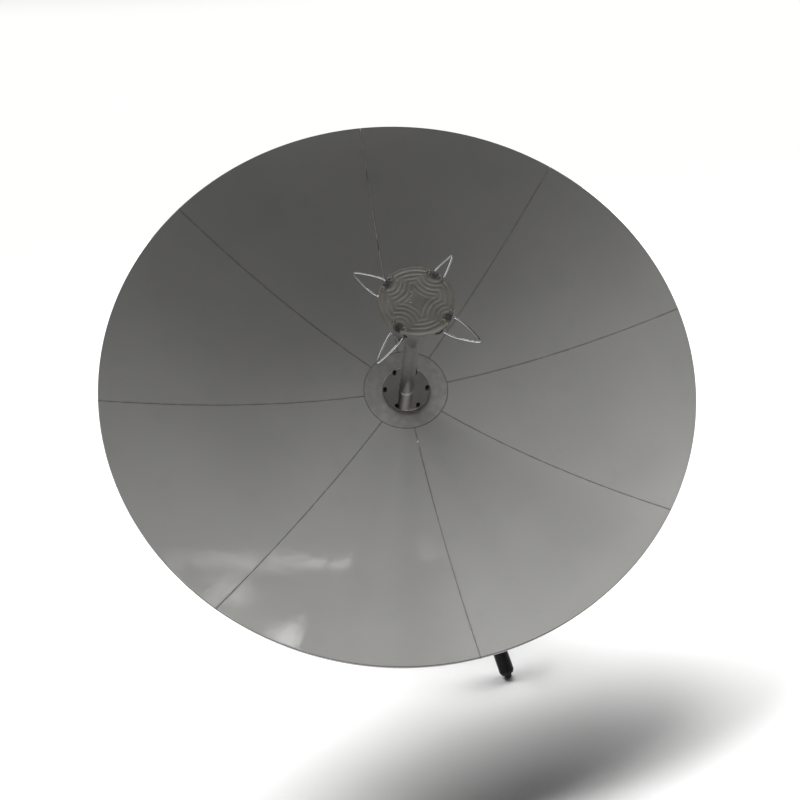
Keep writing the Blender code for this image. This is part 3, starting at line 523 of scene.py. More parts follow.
def finished(work, look, add=(), cut=(), bevel=0.0, segments=2, angle=38.0, bevel_angle=40.0):
    """The final mesh of a shape: joined, cut, its edges rounded, and its normals settled."""
    base = linked("work", to_mesh(work))
    tools = []
    for shapes, operation in ((add, 'UNION'), (cut, 'DIFFERENCE')):
        for shape in shapes:
            tool = linked("tool", to_mesh(shape))
            tool.hide_render = True
            tools.append(tool)
            change = base.modifiers.new("boolean", 'BOOLEAN')
            change.operation = operation
            change.object = tool
            change.solver = 'EXACT'
    if bevel:
        rounding = base.modifiers.new("bevel", 'BEVEL')
        rounding.width = bevel
        rounding.segments = segments
        rounding.limit_method = 'ANGLE'
        rounding.angle_limit = math.radians(bevel_angle)
        rounding.use_clamp_overlap = True
    base.data.shade_smooth()
    mesh = applied(base, *tools)
    mesh.materials.clear()
    mesh.materials.append(MAT[look])
    mesh.shade_smooth()
    mesh.set_sharp_from_angle(angle=math.radians(angle))
    holder = linked("normals", mesh)
    weight = holder.modifiers.new("normals", 'WEIGHTED_NORMAL')
    weight.keep_sharp = True
    weight.mode = 'FACE_AREA'
    return applied(holder)


def show(name, mesh, place=REFLECTOR, body="elevation"):
    """Put a finished mesh in place on its body."""
    piece = linked(name, mesh)
    piece.matrix_world = place
    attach(piece, body)
    return piece


def stand_in(name, mesh, place=REFLECTOR, body="elevation"):
    """Show a mesh for the CAD node that has its name in lower case."""
    piece = show(name, mesh, place, body)
    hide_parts(name.lower())


def extra(name, work, look, slot, place=REFLECTOR, body="elevation", **edges):
    """Finish and show a shape that has no CAD node. look is its material's key in MAT."""
    show(name, finished(work, look, **edges), place, body)


def part(name, work, look, slot, place=REFLECTOR, body="elevation", **edges):
    """Finish and show the shape of the CAD node that has its name in lower case."""
    stand_in(name, finished(work, look, **edges), place, body)


# ---------------------------------------------------------------- reflector

def petal_mesh():
    """One petal about +X: shell, side flanges, rim flange, and rounded edges."""
    half = math.pi / 8
    start, stop, steps = HUB + SHELL, RIM - SHELL, 30
    rows = [PLATE + SEAM_GAP, 0.152, 0.17, start]
    rows += [start + (stop - start) * step / steps for step in range(1, steps + 1)] + [RIM]
    columns = 24
    work = bmesh.new()
    seam = work.verts.layers.float.new("seam")
    front, back = [], []
    for radius in rows:
        edge = half - math.asin(SEAM_GAP / 2 / radius)
        inner = half - math.asin((SEAM_GAP / 2 + SHELL) / radius)
        angles = [-edge] + [inner * (2 * step / columns - 1) for step in range(columns + 1)] + [edge]
        lean = math.atan2(radius, 2 * FOCAL)
        front.append([])
        back.append([])
        for angle in angles:
            across = Vector((math.cos(angle), math.sin(angle), 0))
            point = across * radius + Vector((0, 0, dish(radius)))
            outward = across * math.sin(lean) - Vector((0, 0, math.cos(lean)))
            for line, vert in ((front, work.verts.new(point)),
                               (back, work.verts.new(point + outward * SHELL))):
                vert[seam] = radius * (edge - abs(angle))
                line[-1].append(vert)
    last, width = len(rows) - 1, columns + 2
    behind = []
    for row in range(last):
        for column in range(width):
            work.faces.new([front[row][column], front[row + 1][column],
                            front[row + 1][column + 1], front[row][column + 1]])
            face = work.faces.new([back[row][column], back[row][column + 1],
                                   back[row + 1][column + 1], back[row + 1][column]])
            if row > 2 and (column in (0, width - 1) or row == last - 1):
                behind.append(face)
    for row in range(last):
        for column in (0, width):
            work.faces.new([front[row][column], front[row + 1][column],
                            back[row + 1][column], back[row][column]])
    for column in range(width):
        for row in (0, last):
            work.faces.new([front[row][column], front[row][column + 1],
                            back[row][column + 1], back[row][column]])
    bmesh.ops.recalc_face_normals(work, faces=work.faces)
    grown = bmesh.ops.extrude_face_region(work, geom=behind)
    for item in grown["geom"]:
        if isinstance(item, bmesh.types.BMVert):
            item.co.z -= FLANGE_DEPTH - SHELL
    bmesh.ops.delete(work, geom=behind, context='FACES')
    return finished(work, "gelcoat", bevel=0.0005, bevel_angle=55.0)


def clip_mesh(depth):
    """A channel over two neighbouring petals' flanges, with its cross bolt, 34 mm long."""
    inner, outer, top = 0.005, 0.0066, -0.0085
    bottom = -depth - 0.0004
    outline = [(outer + 0.0022, top + 0.0012), (outer, top - 0.0014), (outer, bottom - 0.0018),
               (-outer, bottom - 0.0018), (-outer, top - 0.0014), (-outer - 0.0022, top + 0.0012),
               (-outer - 0.0012, top + 0.0022), (-inner, top - 0.0004), (-inner, bottom),
               (inner, bottom), (inner, top - 0.0004), (outer + 0.0012, top + 0.0022)]
    work = prism(soften(outline, 0.0009, 2), -0.017, 0.017, None, SIDEWAYS)
    for side, head, stud in ((-1, 0.0048, 0.0018), (1, 0.0036, 0.0)):
        face = move(0, side * outer, (top + bottom) / 2 - 0.001) @ spin(-side * QUARTER, 'X')
        bolt(work, face, 0.008, head, 0.0052, stud, 0.0024)
    return finished(work, "zinc", bevel=0.0003)


def reflector():
    petal = petal_mesh()
    for number in range(8):
        middle = QUARTER - (number + 0.5) * math.tau / 8
        turned_petal = petal.copy()
        turned_petal.transform(REFLECTOR @ spin(middle))
        stand_in(f"Petal_{number + 1}", turned_petal, STILL)
    radii = [0.03 + (PLATE - 0.0308) * step / 16 for step in range(17)]
    plate = ([(radius, dish(radius)) for radius in radii]
             + [(PLATE - 0.0003, dish(PLATE) - 0.0003), (PLATE, dish(PLATE) - 0.001)]
             + [(radius, dish(radius) - SHELL) for radius in (PLATE, 0.09, 0.03)])
    part("Centre_plate", turned(plate, 128), "gelcoat", "gelcoat")

    for circle, radius in enumerate((0.3, 0.53, 0.76)):
        slope = math.atan2(radius, 2 * FOCAL)
        clip = clip_mesh(SHELL + (FLANGE_DEPTH - SHELL) * math.cos(slope))
        for number in range(8):
            seam = QUARTER - number * math.tau / 8
            place = REFLECTOR @ spin(seam) @ move(radius, 0, dish(radius)) @ spin(-slope, 'Y')
            show(f"Seam_clip_{circle + 1}_{number + 1}", clip, place)


def hub():
    """The casting behind the petals, with ribs, and the captive knobs that hold the petals."""
    front = [(radius, dish(radius) - SHELL - GAP) for radius in (0.03, 0.06, 0.1, 0.145, HUB)]
    outline = front + [(HUB, front[-1][1] - 0.009), (0.132, front[-2][1] - 0.011, 0.006),
                       (0.128, HUB_BACK, 0.004), (0.03, HUB_BACK), (0.03, HUB_BACK + 0.008),
                       (0.119, HUB_BACK + 0.008, 0.006), (0.119, -0.016, 0.006), (0.03, -0.016)]
    ribs = bmesh.new()
    rib = soften([(0.124, -0.01), (0.181, -0.003), (0.1815, -0.0075), (0.13, -0.064),
                  (0.124, -0.064)], 0.0015, 2)
    count, connector_rib = 16, 12
    for number in range(count):
        if number != connector_rib:
            prism(rib, -0.003, 0.003, ribs, spin(number * math.tau / count) @ UPRIGHT)
    out = move(0, 0, CONNECTOR_LEVEL) @ ALONG_Y @ BACKWARDS
    boss = rod(0.019, 0.11, 0.1335, 48, None, out)
    bore = rod(0.0075, 0.1, 0.14, 32, None, out)
    part("Hub_casting", lathe(outline, 0.0012, 3, 128), "casting", "casting", add=(ribs, boss),
         cut=(bore,), bevel=0.0007, segments=1, bevel_angle=50)

    def flutes(radius, height, angle):
        deep = 0.0017 if radius > 0.0118 else 0.0
        return radius - deep * (0.5 + 0.5 * math.cos(8 * angle)) ** 2

    knob = lathe([(0, -0.001), (0.0075, -0.001), (0.0075, 0.0045), (0.0135, 0.0055),
                  (0.0135, 0.015), (0.01, 0.0172), (0.0045, 0.0172), (0.0045, 0.016),
                  (0, 0.016)], 0.0012, 3, 96, None, STILL, flutes)
    rod(0.003, 0.014, 0.019, 20, knob)
    mesh = finished(knob, "black", angle=45)
    slope = math.atan2(0.0067, 0.053)
    for number in range(16):
        turn = spin(math.radians(11.25 + 22.5 * number))
        place = REFLECTOR @ turn @ move(0.163, 0, -0.004) @ spin(math.pi - slope, 'Y')
        show(f"Petal_knob_{number + 1:02d}", mesh, place)


# ---------------------------------------------------------------- feed

def flange():
    back = dish(0.079) + GAP
    plate = lathe([(0.01, back), (0.079, back), (0.079, FLANGE_FRONT, 0.0011),
                   (0.0246, FLANGE_FRONT), (0.0246, 0.0105), (0.01, 0.0105)], 0.0003, 3, 160)
    part("Feed_flange", plate, "polished", "polished")

    def knurl(radius, height, angle):
        return radius - (0.00012 * (1 + math.cos(36 * angle)) if radius > 0.0062 else 0.0)

    head = lathe([(0, -0.002), (0.004, -0.002), (0.004, 0.0003), (0.0065, 0.0003),
                  (0.0065, 0.0083, 0.0009), (0, 0.0083)], 0.0003, 3, 144, None, STILL, knurl)
    mesh = finished(head, "screw", cut=(hexagon(0.006, 0.004, 0.012, bmesh.new()),))
    for number in range(6):
        angle = math.radians(52.5) + number * math.tau / 6
        stand_in(f"Flange_screw_{number + 1}", mesh,
                 REFLECTOR @ spin(angle) @ move(0.0708, 0, FLANGE_FRONT))


def column_and_neck():
    inner = COLUMN - 0.003
    column = soften([(inner, 0.0103), (COLUMN + 0.0012, 0.0103), (COLUMN + 0.001, 0.0128),
                     (COLUMN, 0.0142), (COLUMN, 0.4), (inner, 0.4)], 0.0006, 3, 8.0)
    part("Feed_column", turned(column, 96), "aluminium", "aluminium")

    outside = [(0.0258, 0.3572), (0.0275, 0.366), (0.033, 0.392), (0.04, 0.418),
               (0.05, 0.46), (0.057, 0.53), (0.059, 0.5655)]
    lip = [(0.059, 0.5668), (0.064, 0.5695), (0.064, 0.5783), (0.04, 0.5783), (0.04, 0.566)]
    outline = ([(0.0241, 0.356), (0.0254, 0.356), (0.0258, 0.3564)] + smooth_profile(outside, 5)
               + soften(lip, 0.0008, 3)
               + [(0.05, 0.56), (0.044, 0.46), (0.036, 0.412), (0.0241, 0.4045)])
    ports, grommets = bmesh.new(), bmesh.new()
    for number in range(4):
        place = spin(FEED_PHASE + number * QUARTER) @ move(0, 0, HARNESS) @ ALONG_X
        rod(0.0044, 0.03, 0.07, 32, ports, place)
        lathe([(0.0031, 0.045), (0.0043, 0.045), (0.0043, 0.0508), (0.0068, 0.0512),
               (0.0064, 0.053), (0.0036, 0.054)], 0.0006, 2, 32, grommets, place)
    part("Feed_neck", turned(outline, 128), "aluminium", "aluminium", cut=(ports,))
    extra("Neck_grommets", grommets, "black", "black")


def contour(inset, notch=0.013, rim=DISC):
    """The disc's outline with its four notches, moved inwards by inset."""
    outer, near = rim - inset, notch + inset
    across = math.sqrt(max(0.0, outer * outer - near * near))
    if across >= CLAMP:
        bend = arc((CLAMP, 0), near, -QUARTER, -3 * QUARTER, 20)
        path = [(across, -near)] + bend + [(across, near)]
    else:
        turn = math.acos((outer ** 2 + CLAMP ** 2 - near ** 2) / (2 * outer * CLAMP))
        if turn > math.pi / 4:
            aside = CLAMP * math.sin(math.pi / 4)
            turn, outer = math.pi / 4, aside - math.sqrt(near ** 2 - aside ** 2)
        swing = math.atan2(outer * math.sin(turn), outer * math.cos(turn) - CLAMP)
        path = arc((CLAMP, 0), near, -swing, swing - math.tau, max(14, int(near * swing / 0.0016)))
    half = math.atan2(path[-1][1], path[-1][0])
    pointed = half > math.pi / 4 - 0.001
    loop = []
    for number in range(4):
        turn = FEED_PHASE + number * QUARTER
        loop += [(x * math.cos(turn) - y * math.sin(turn), x * math.sin(turn) + y * math.cos(turn))
                 for x, y in (path[:-1] if pointed else path)]
        if not pointed:
            loop += arc((0, 0), outer, turn + half, turn + QUARTER - half, 40)[1:-1]
    return loop


def disc():
    """The milled plate. Its pockets follow the outline and its four notches inwards."""
    pitch, ridge, slope, depth = 0.0134, 0.0012, 0.0034, 0.00038
    back, edge = 0.5816, 0.0006
    levels = [(0.0, -0.0006), (0.0003, -0.0001), (0.0008, 0.0)]
    eased = [(share, (1 - math.cos(math.pi * share)) / 2) for share in (0, 0.2, 0.4, 0.6, 0.8, 1)]
    for number in range(5):
        start, stop = number * pitch + ridge, (number + 1) * pitch - ridge
        levels += [(start + slope * share, -depth * drop) for share, drop in eased]
        levels += [(stop - slope * share, -depth * drop) for share, drop in reversed(eased)]
    points, edges, heights, insets = [], [], [], []
    for inset, height in levels:
        loop = contour(inset)
        first = len(points)
        points += [Vector(point) for point in loop]
        heights += [height] * len(loop)
        insets += [inset] * len(loop)
        edges += [(first + index, first + (index + 1) % len(loop)) for index in range(len(loop))]
    outline = list(range(len(contour(0.0))))
    made = geometry.delaunay_2d_cdt(points, edges, [outline], 1, 1e-7)
    work = bmesh.new()
    cut = work.verts.layers.float.new("cut")
    top = []
    for point, sources in zip(made[0], made[3]):
        source = sources[0] if sources else 0
        vert = work.verts.new((point.x, point.y, DISC_FRONT + heights[source]))
        vert[cut] = insets[source]
        top.append(vert)
    for face in made[2]:
        work.faces.new([top[index] for index in face])
    index_of = {sources[0]: index for index, sources in enumerate(made[3]) if sources}
    rings = [[top[index_of[source]] for source in outline]]
    for level, inset in ((back + edge, 0.0), (back, edge)):
        rings.append([work.verts.new((x, y, level)) for x, y in contour(inset)])
    for line, after in zip(rings, rings[1:]):
        for index in range(len(line)):
            following = (index + 1) % len(line)
            work.faces.new([line[index], line[following], after[following], after[index]])
    work.faces.new(rings[-1][::-1])
    prism(contour(0.0, 0.0136, 0.104), 0.5786, 0.582, work)
    part("Feed_disc", work, "machined", "machined", angle=50)
    dowels = bmesh.new()
    for x, y in ((-0.0113, 0.0288), (-0.0195, -0.0047)):
        lathe([(0, 0), (0.0019, 0), (0.0019, 0.0006), (0.0011, 0.0011), (0, 0.0012)], 0.0003, 2,
              24, dowels, move(x, y, DISC_FRONT - 0.0006))
    extra("Disc_dowels", dowels, "chrome", "chrome")


def loop_wire(width):
    """A wire loop from its clamp out and back, with a collar at each end."""
    near, far, clear = 0.0765, 0.203, 0.1045
    path = []
    for step in range(121):
        swing = math.tau * step / 120
        rise = (1 - math.cos(swing)) / 2
        reach = near + (far - near) * rise
        if reach > clear:
            path.append((reach, width * math.sin(swing) * (1 - 0.7 * rise), 0))
    work = swept(path, 0.0026, 16, None, move(0, 0, LOOP_HEIGHT))
    for start, after in ((path[0], path[4]), (path[-1], path[-5])):
        heading = (Vector(after) - Vector(start)).normalized()
        at = Vector(start) + Vector((0.0036, 0, LOOP_HEIGHT))
        place = Matrix.Translation(at) @ heading.to_track_quat('Z', 'Y').to_matrix().to_4x4()
        lathe([(0.0024, -0.004), (0.0036, -0.004), (0.0036, 0.0005), (0.003, 0.0015),
               (0.0024, 0.0015)], 0.0004, 2, 24, work, place)
    return work


def clamps_and_loops():
    def round_end(radius):
        return arc((CLAMP, 0), radius, QUARTER, 3 * QUARTER, 24)

    heart = round_end(0.0086) + [(0.1052, -0.0086, 0.0024), (0.1058, -0.005, 0.001),
                                 (0.0992, 0.0, 0.0012), (0.1058, 0.005, 0.001),
                                 (0.1052, 0.0086, 0.0024)]
    insulator = finished(prism(soften(heart, 0.0005, 3), 0.579, DISC_FRONT + 0.0028), "black",
                         bevel=0.0007)
    stem = round_end(0.0124) + [(0.1058, -0.0124, 0.003), (0.1058, 0.0124, 0.003)]
    shell = prism(soften(stem, 0.0005, 3), 0.57, DISC_FRONT + 0.001)
    body = block((0.072, -0.0115, 0.546), (0.105, 0.0115, 0.5781))
    hollow = prism(round_end(0.0089) + [(0.12, -0.0089), (0.12, 0.0089)], 0.5787, 0.62)
    holder = finished(shell, "turned", add=(body,), cut=(hollow,), bevel=0.0006)
    nut = finished(bolt(bmesh.new(), STILL, 0.01, 0.0048, 0.0066, 0.003, 0.0025), "nut",
                   bevel=0.0003)
    narrow, wide = 0.0234, 0.0387
    for number in range(4):
        turn = REFLECTOR @ spin(FEED_PHASE + number * QUARTER)
        stand_in(f"Loop_clamp_{number + 1}", insulator, turn)
        show(f"Clamp_body_{number + 1}", holder, turn)
        for side, label in ((-1, "a"), (1, "b")):
            place = turn @ move(CLAMP - 0.0015, side * 0.019, DISC_FRONT)
            show(f"Clamp_nut_{number + 1}{label}", nut, place)
        part(f"Feed_loop_{number + 1}", loop_wire(wide if number % 2 else narrow), "chrome",
             "chrome", turn)


def harness():
    work = sleeve(0, 0.03, HARNESS - 0.014, HARNESS + 0.014, 0.002, 48, steps=3)
    plugs = bmesh.new()
    route = [(0.089, 0, 0.545), (0.089, 0, 0.53), (0.0885, 0, 0.514), (0.086, 0, 0.498),
             (0.081, 0, 0.485), (0.074, 0, 0.476), (0.066, 0, 0.47), (0.054, 0, HARNESS),
             (0.025, 0, HARNESS)]
    for number in range(4):
        turn = spin(FEED_PHASE + number * QUARTER)
        swept(smooth_path(route, 6), 0.0028, 16, work, turn)
        lathe([(0.0028, 0.528), (0.0042, 0.529), (0.0046, 0.534), (0.0046, 0.5452),
               (0.0028, 0.5452)], 0.0004, 2, 24, plugs, turn @ move(0.089, 0, 0))
    bend, level = 0.028, CONNECTOR_LEVEL
    route = [(0, 0, HARNESS - 0.01), (0, 0, 0.25), (0, 0, level + bend)]
    route += [(0, y, z) for y, z in arc((-bend, level + bend), bend, 0, -QUARTER, 12)][1:]
    swept(route + [(0, -0.112, level)], 0.0055, 20, work)
    part("Feed_harness", work, "cable", "black")
    extra("Jumper_plugs", plugs, "nut", "steel")

    out = move(0, 0, level) @ ALONG_Y @ BACKWARDS
    thread = []
    for step in range(11):
        low = 0.1406 + 0.00128 * step
        thread += [(0.0092, low), (0.01, low + 0.00032), (0.01, low + 0.00064),
                   (0.0092, low + 0.00096)]
    body = [(0, 0.115), (0.007, 0.115), (0.007, 0.1337), (0.01, 0.1337), (0.01, 0.14)]
    socket = [(0.0094, 0.1556), (0.0086, 0.156), (0.0066, 0.156), (0.006, 0.1552),
              (0.006, 0.148), (0.0022, 0.148), (0.0022, 0.1535), (0.0012, 0.154), (0, 0.154)]
    work = turned(body + thread + socket, 64, None, out)
    hexagon(0.022, 0.1337, 0.1385, work, out)
    part("RF_connector", work, "nut", "steel", bevel=0.0001, segments=1)


reflector()
hub()
flange()
column_and_neck()
disc()
clamps_and_loops()
harness()


# ---------------------------------------------------------------- elevation bracket and drive

def both_ways(outline, low, high, work=None):
    return prism(outline, low, high, work, SIDEWAYS)


def toothed(teeth, pitch, first, last, phase, module=0.004):
    """Tooth outline points, counted about the gear's centre, with curved flanks."""
    step = math.tau / teeth
    shape = [(pitch - 1.1 * module, -0.34), (pitch - 0.6 * module, -0.29), (pitch, -0.245),
             (pitch + 0.5 * module, -0.185), (pitch + 0.8 * module, -0.13)]
    points = []
    for tooth in range(first, last + 1):
        middle = phase + tooth * step
        for radius, offset in shape + [(radius, -offset) for radius, offset in reversed(shape)]:
            points.append((radius * math.cos(middle + offset * step),
                           radius * math.sin(middle + offset * step)))
    return points


def bracket():
    back, front = 0.25, OFFSET + HUB_BACK - GAP
    face = prism(soften([(-0.11, -0.105), (0.11, -0.105), (0.11, 0.105), (-0.11, 0.105)],
                        0.014, 6), back, front)
    cheeks, holes = bmesh.new(), bmesh.new()
    for low in (-0.0825, 0.0725):
        both_ways(wrapped([(0, 0, 0.042), (-0.092, 0.2515, 0.004), (0.092, 0.2515, 0.004)], 72),
                  low, low + 0.01, cheeks)
        both_ways(wrapped([(0, 0.2, 0.022), (0, 0.115, 0.012)], 48), low - 0.01, low + 0.02,
                  holes)
    tie = rod(0.016, -0.075, 0.075, 48, None, move(0, 0, 0.07) @ ALONG_X)
    rod(0.0193, -0.09, 0.09, 64, holes, ALONG_X)
    rod(0.045, 0.2, 0.3, 96, holes)
    part("Elevation_bracket", face, "painted", "painted", ELEVATION, add=(cheeks, tie),
         cut=(holes,), bevel=0.0011)

    screws, ends = bmesh.new(), bmesh.new()
    for x in (-0.0965, 0.0965):
        for y in (-0.052, 0.052):
            bolt(screws, move(x, y, back) @ BACKWARDS, 0.013, 0.0053, 0.0085)
    extra("Bracket_bolts", screws, "zinc", "steel", ELEVATION, bevel=0.0003)
    for side in (-1, 1):
        face = move(side * 0.0825, 0, 0.07) @ spin(side * QUARTER, 'Y')
        sleeve(0, 0.0115, 0, 0.0016, 0.0004, 40, ends, face)
        hexagon(0.013, 0.0016, 0.007, ends, face)
    extra("Tie_bolts", ends, "zinc", "steel", ELEVATION, bevel=0.0003)

    for side, name in ((math.pi, "left"), (0, "right")):
        bush = lathe([(0.0154, 0.0723), (0.019, 0.0723), (0.019, 0.0828), (0.026, 0.0828),
                      (0.026, 0.0947), (0.0154, 0.0947)], 0.0006, 3, 64)
        part(f"Elevation_bush_{name}", bush, "bronze", "bronze", ELEVATION @ spin(side) @ ALONG_X)


def sector():
    step = math.tau / SECTOR_TEETH
    rest = -(REST_ELEVATION - PINION_DROP) + step / 2
    first, last, inner, root = -12, 5, 0.118, SECTOR_PITCH - 0.0044
    start, stop = rest + (last + 0.9) * step, rest + (first - 0.9) * step
    outline = toothed(SECTOR_TEETH, SECTOR_PITCH, first, last, rest)
    outline += [(r * math.cos(start), r * math.sin(start)) for r in (root, inner)]
    outline += arc((0, 0), inner, start, stop, 40)[1:-1]
    outline += [(r * math.cos(stop), r * math.sin(stop)) for r in (inner, root)]
    turn_in = ELEVATION @ Matrix(((0, 0, 1, 0), (0, -1, 0, 0), (-1, 0, 0, 0), (0, 0, 0, 1)))
    low, high, tip = 0.062, 0.072, 0.122
    spokes = [prism(wrapped([(0, 0, 0.012), (tip * math.cos(angle), tip * math.sin(angle), 0.007)]),
                    low, high)
              for angle in (start - 0.08, (start + stop) / 2, stop + 0.08)]
    nave = rod(0.036, low, high, 96)
    bore = rod(0.0193, 0.05, 0.09, 64)
    part("Elevation_sector", prism(outline, low, high), "steel_ring", "steel", turn_in,
         add=(*spokes, nave), cut=(bore,), bevel=0.0004, bevel_angle=60)
    screws = bmesh.new()
    for number in range(3):
        sleeve(0, 0.0042, -0.0032, 0.0002, 0.0006, 32, screws,
             turn_in @ spin(number * math.tau / 3 + 0.5) @ move(0.0285, 0, low))
    extra("Sector_screws", screws, "screw", "black", STILL)


def yokes():
    foot_level = TABLE_TOP + GAP
    foot_top = foot_level + 0.012
    for side, name in ((-1, "left"), (1, "right")):
        low = min(side * 0.095, side * 0.107)
        arm = both_ways(wrapped([(0, PIVOT, 0.046), (PINION_Y, PINION_Z, 0.026),
                                 (-0.085, foot_level + 0.003, 0.003),
                                 (0.118, foot_level + 0.003, 0.003)], 72), low, low + 0.012)
        inner, outer = sorted((side * 0.099, side * 0.135))
        foot = block((inner, -0.085, foot_level), (outer, 0.118, foot_top))
        web = bmesh.new()
        for y in (-0.045, 0.078):
            points = [(side * x, foot_level + z)
                      for x, z in ((0.1065, 0.01), (0.131, 0.01), (0.131, 0.016),
                                   (0.1115, 0.056), (0.1065, 0.056))]
            prism(points[::side], y - 0.003, y + 0.003, web, UPRIGHT)
        holes = bmesh.new()
        rod(0.0153, -0.15, 0.15, 64, holes, move(0, 0, PIVOT) @ ALONG_X)
        rod(0.0104, -0.15, 0.15, 48, holes, move(0, PINION_Y, PINION_Z) @ ALONG_X)
        both_ways(wrapped([(0.052, foot_level + 0.065, 0.024), (0.035, PIVOT - 0.09, 0.02)]),
                  low - 0.01, low + 0.022, holes)
        part(f"Yoke_{name}", arm, "painted", "painted", AZIMUTH, "azimuth", add=(foot, web),
             cut=(holes,), bevel=0.0011)
        screws = bmesh.new()
        for y in (-0.07, -0.022, 0.054, 0.1):
            bolt(screws, AZIMUTH @ move(side * 0.1225, y, foot_top), 0.013, 0.0053, 0.008)
        extra(f"Yoke_bolts_{name}", screws, "zinc", "steel", STILL, "azimuth", bevel=0.0003)

    work = lathe([(0, -0.1255), (0.0012, -0.1262), (0.003, -0.128), (0.014, -0.128),
                  (0.015, -0.127), (0.015, -0.1245), (0.0138, -0.1243), (0.0138, -0.1228),
                  (0.015, -0.1226), (0.015, 0.1076), (0.022, 0.1076), (0.022, 0.113),
                  (0.0205, 0.1148), (0.0075, 0.1148), (0.0065, 0.1125), (0, 0.1125)],
                 0.0003, 2, 96)
    sleeve(0.0139, 0.0175, -0.1242, -0.1229, 0.0002, 64, work)
    part("Elevation_shaft", work, "steel_ring", "steel", AZIMUTH @ move(0, 0, PIVOT) @ ALONG_X,
         "azimuth")


def crank():
    place = AZIMUTH @ move(0, PINION_Y, PINION_Z)
    tip = move(0, 0, CRANK) @ ALONG_X
    gear = both_ways(toothed(PINION_TEETH, PINION_PITCH, 0, PINION_TEETH - 1,
                             math.pi - PINION_DROP), 0.06, 0.074)
    spindle = lathe([(0, 0.05), (0.01, 0.05), (0.01, 0.118), (0.007, 0.118),
                     (0.007, 0.1345), (0, 0.1345)], 0.0006, 2, 48, None, ALONG_X)
    rings = bmesh.new()
    for low, radius in ((0.0535, 0.014), (0.1073, 0.0135)):
        sleeve(0.0095, radius, low, low + 0.0015, 0.0003, 48, rings, ALONG_X)
    part("Elevation_pinion", gear, "steel", "steel", place, "crank", add=(spindle,),
         bevel=0.0003, bevel_angle=60)
    extra("Pinion_rings", rings, "zinc", "steel", place, "crank")

    lever = both_ways(wrapped([(0, 0, 0.014), (0, CRANK, 0.01)], 64), 0.119, 0.127)
    bore = rod(0.0073, 0.1, 0.14, 48, None, ALONG_X)
    part("Crank_arm", lever, "painted", "painted", place, "crank", cut=(bore,), bevel=0.0012,
         segments=3)
    stub = rod(0.0045, 0.1268, 0.168, 32, None, tip)
    sleeve(0.003, 0.008, 0.1676, 0.169, 0.0003, 32, stub, tip)
    hexagon(0.013, 0.1272, 0.1338, stub, ALONG_X)
    sleeve(0.005, 0.011, 0.1268, 0.1282, 0.0003, 40, stub, ALONG_X)
    hexagon(0.012, 0.114, 0.119, stub, tip)
    extra("Crank_fixings", stub, "zinc", "steel", place, "crank")

    def rib(radius, along, angle):
        return radius - (0.00035 * (0.5 + 0.5 * math.cos(12 * angle)) if radius > 0.0115 else 0)

    grip = [(0.0086, 0.1278), (0.0118, 0.1325), (0.013, 0.14), (0.0131, 0.148),
            (0.0122, 0.1575), (0.0098, 0.165), (0.0082, 0.1672)]
    outline = [(0.005, 0.1278)] + smooth_profile(grip, 4) + [(0.005, 0.1672)]
    part("Crank_knob", turned(outline, 96, None, STILL, rib), "black", "black", place @ tip,
         "crank_knob")


def brake():
    lever = both_ways(wrapped([(0, 0, 0.024), (0.088, -0.04, 0.009)], 64), -0.1213, -0.1073)
    pocket = both_ways(wrapped([(0.034, -0.0155, 0.0085), (0.08, -0.0364, 0.0045)], 40), -0.125,
                       -0.1185)
    bore = rod(0.0153, -0.14, -0.1, 64, None, ALONG_X)
    part("Brake_lever", lever, "black", "black", AZIMUTH @ move(0, 0, PIVOT), "brake",
         cut=(pocket, bore), bevel=0.0016, segments=3)


def turntable():
    spindle, top = HEAD_BOTTOM + 0.008, TABLE_TOP
    table = lathe([(0.012, spindle), (0.028, spindle), (0.028, TABLE_BOTTOM),
                   (TABLE_RADIUS, TABLE_BOTTOM), (TABLE_RADIUS, top - 0.002),
                   (TABLE_RADIUS - 0.002, top), (0.07, top), (0.069, top - 0.0012),
                   (0.048, top - 0.0012), (0.047, top), (0.012, top)], 0.0008, 3, 192)
    holes, screws = bmesh.new(), bmesh.new()
    for number in range(6):
        turn = spin(number * math.tau / 6 + 0.26)
        rod(0.0085, top - 0.006, top + 0.01, 32, holes, turn @ move(0.158, 0, 0))
        lathe([(0, 0), (0.0065, 0), (0.0065, 0.0055), (0.0033, 0.0055), (0.0033, 0.002),
               (0, 0.002)], 0.0004, 2, 32, screws, turn @ move(0.158, 0, top - 0.0062))
    part("Turntable", table, "painted", "painted", AZIMUTH, "azimuth", cut=(holes,),
         bevel=0.0006, bevel_angle=60)
    for number in range(8):
        bolt(screws, spin(number * math.tau / 8) @ move(0.0585, 0, top - 0.0012), 0.01, 0.004,
             0.0062)
    extra("Turntable_screws", screws, "screw", "steel", AZIMUTH, "azimuth")


def azimuth_scale():
    """The marks at every 5 degrees on the turntable's edge, and a number at every 30."""
    top, thin = TABLE_TOP - 0.0032, 0.00035
    marks = bmesh.new()
    for number in range(72):
        tall = 0.0085 if number % 6 == 0 else 0.006 if number % 2 == 0 else 0.004
        block((0.1898, -thin, top - tall), (0.19012, thin, top), marks,
              spin(number * math.tau / 72))
    extra("Azimuth_marks", marks, "ink", "painted", AZIMUTH, "azimuth")
    work = bmesh.new()
    for number in range(12):
        curve = bpy.data.curves.new("digits", 'FONT')
        curve.body = str(number * 30)
        curve.size = 0.0062
        curve.extrude = 0.00012
        curve.align_x = 'CENTER'
        mesh = applied(linked("digits", curve))
        mesh.transform(AZIMUTH @ spin(number * math.tau / 12) @ move(TABLE_RADIUS, 0, 0.5676)
                       @ spin(QUARTER) @ spin(QUARTER, 'X'))
        work.from_mesh(mesh)
        bpy.data.meshes.remove(mesh)
    extra("Azimuth_digits", work, "ink", "painted", STILL, "azimuth")


# ---------------------------------------------------------------- tripod

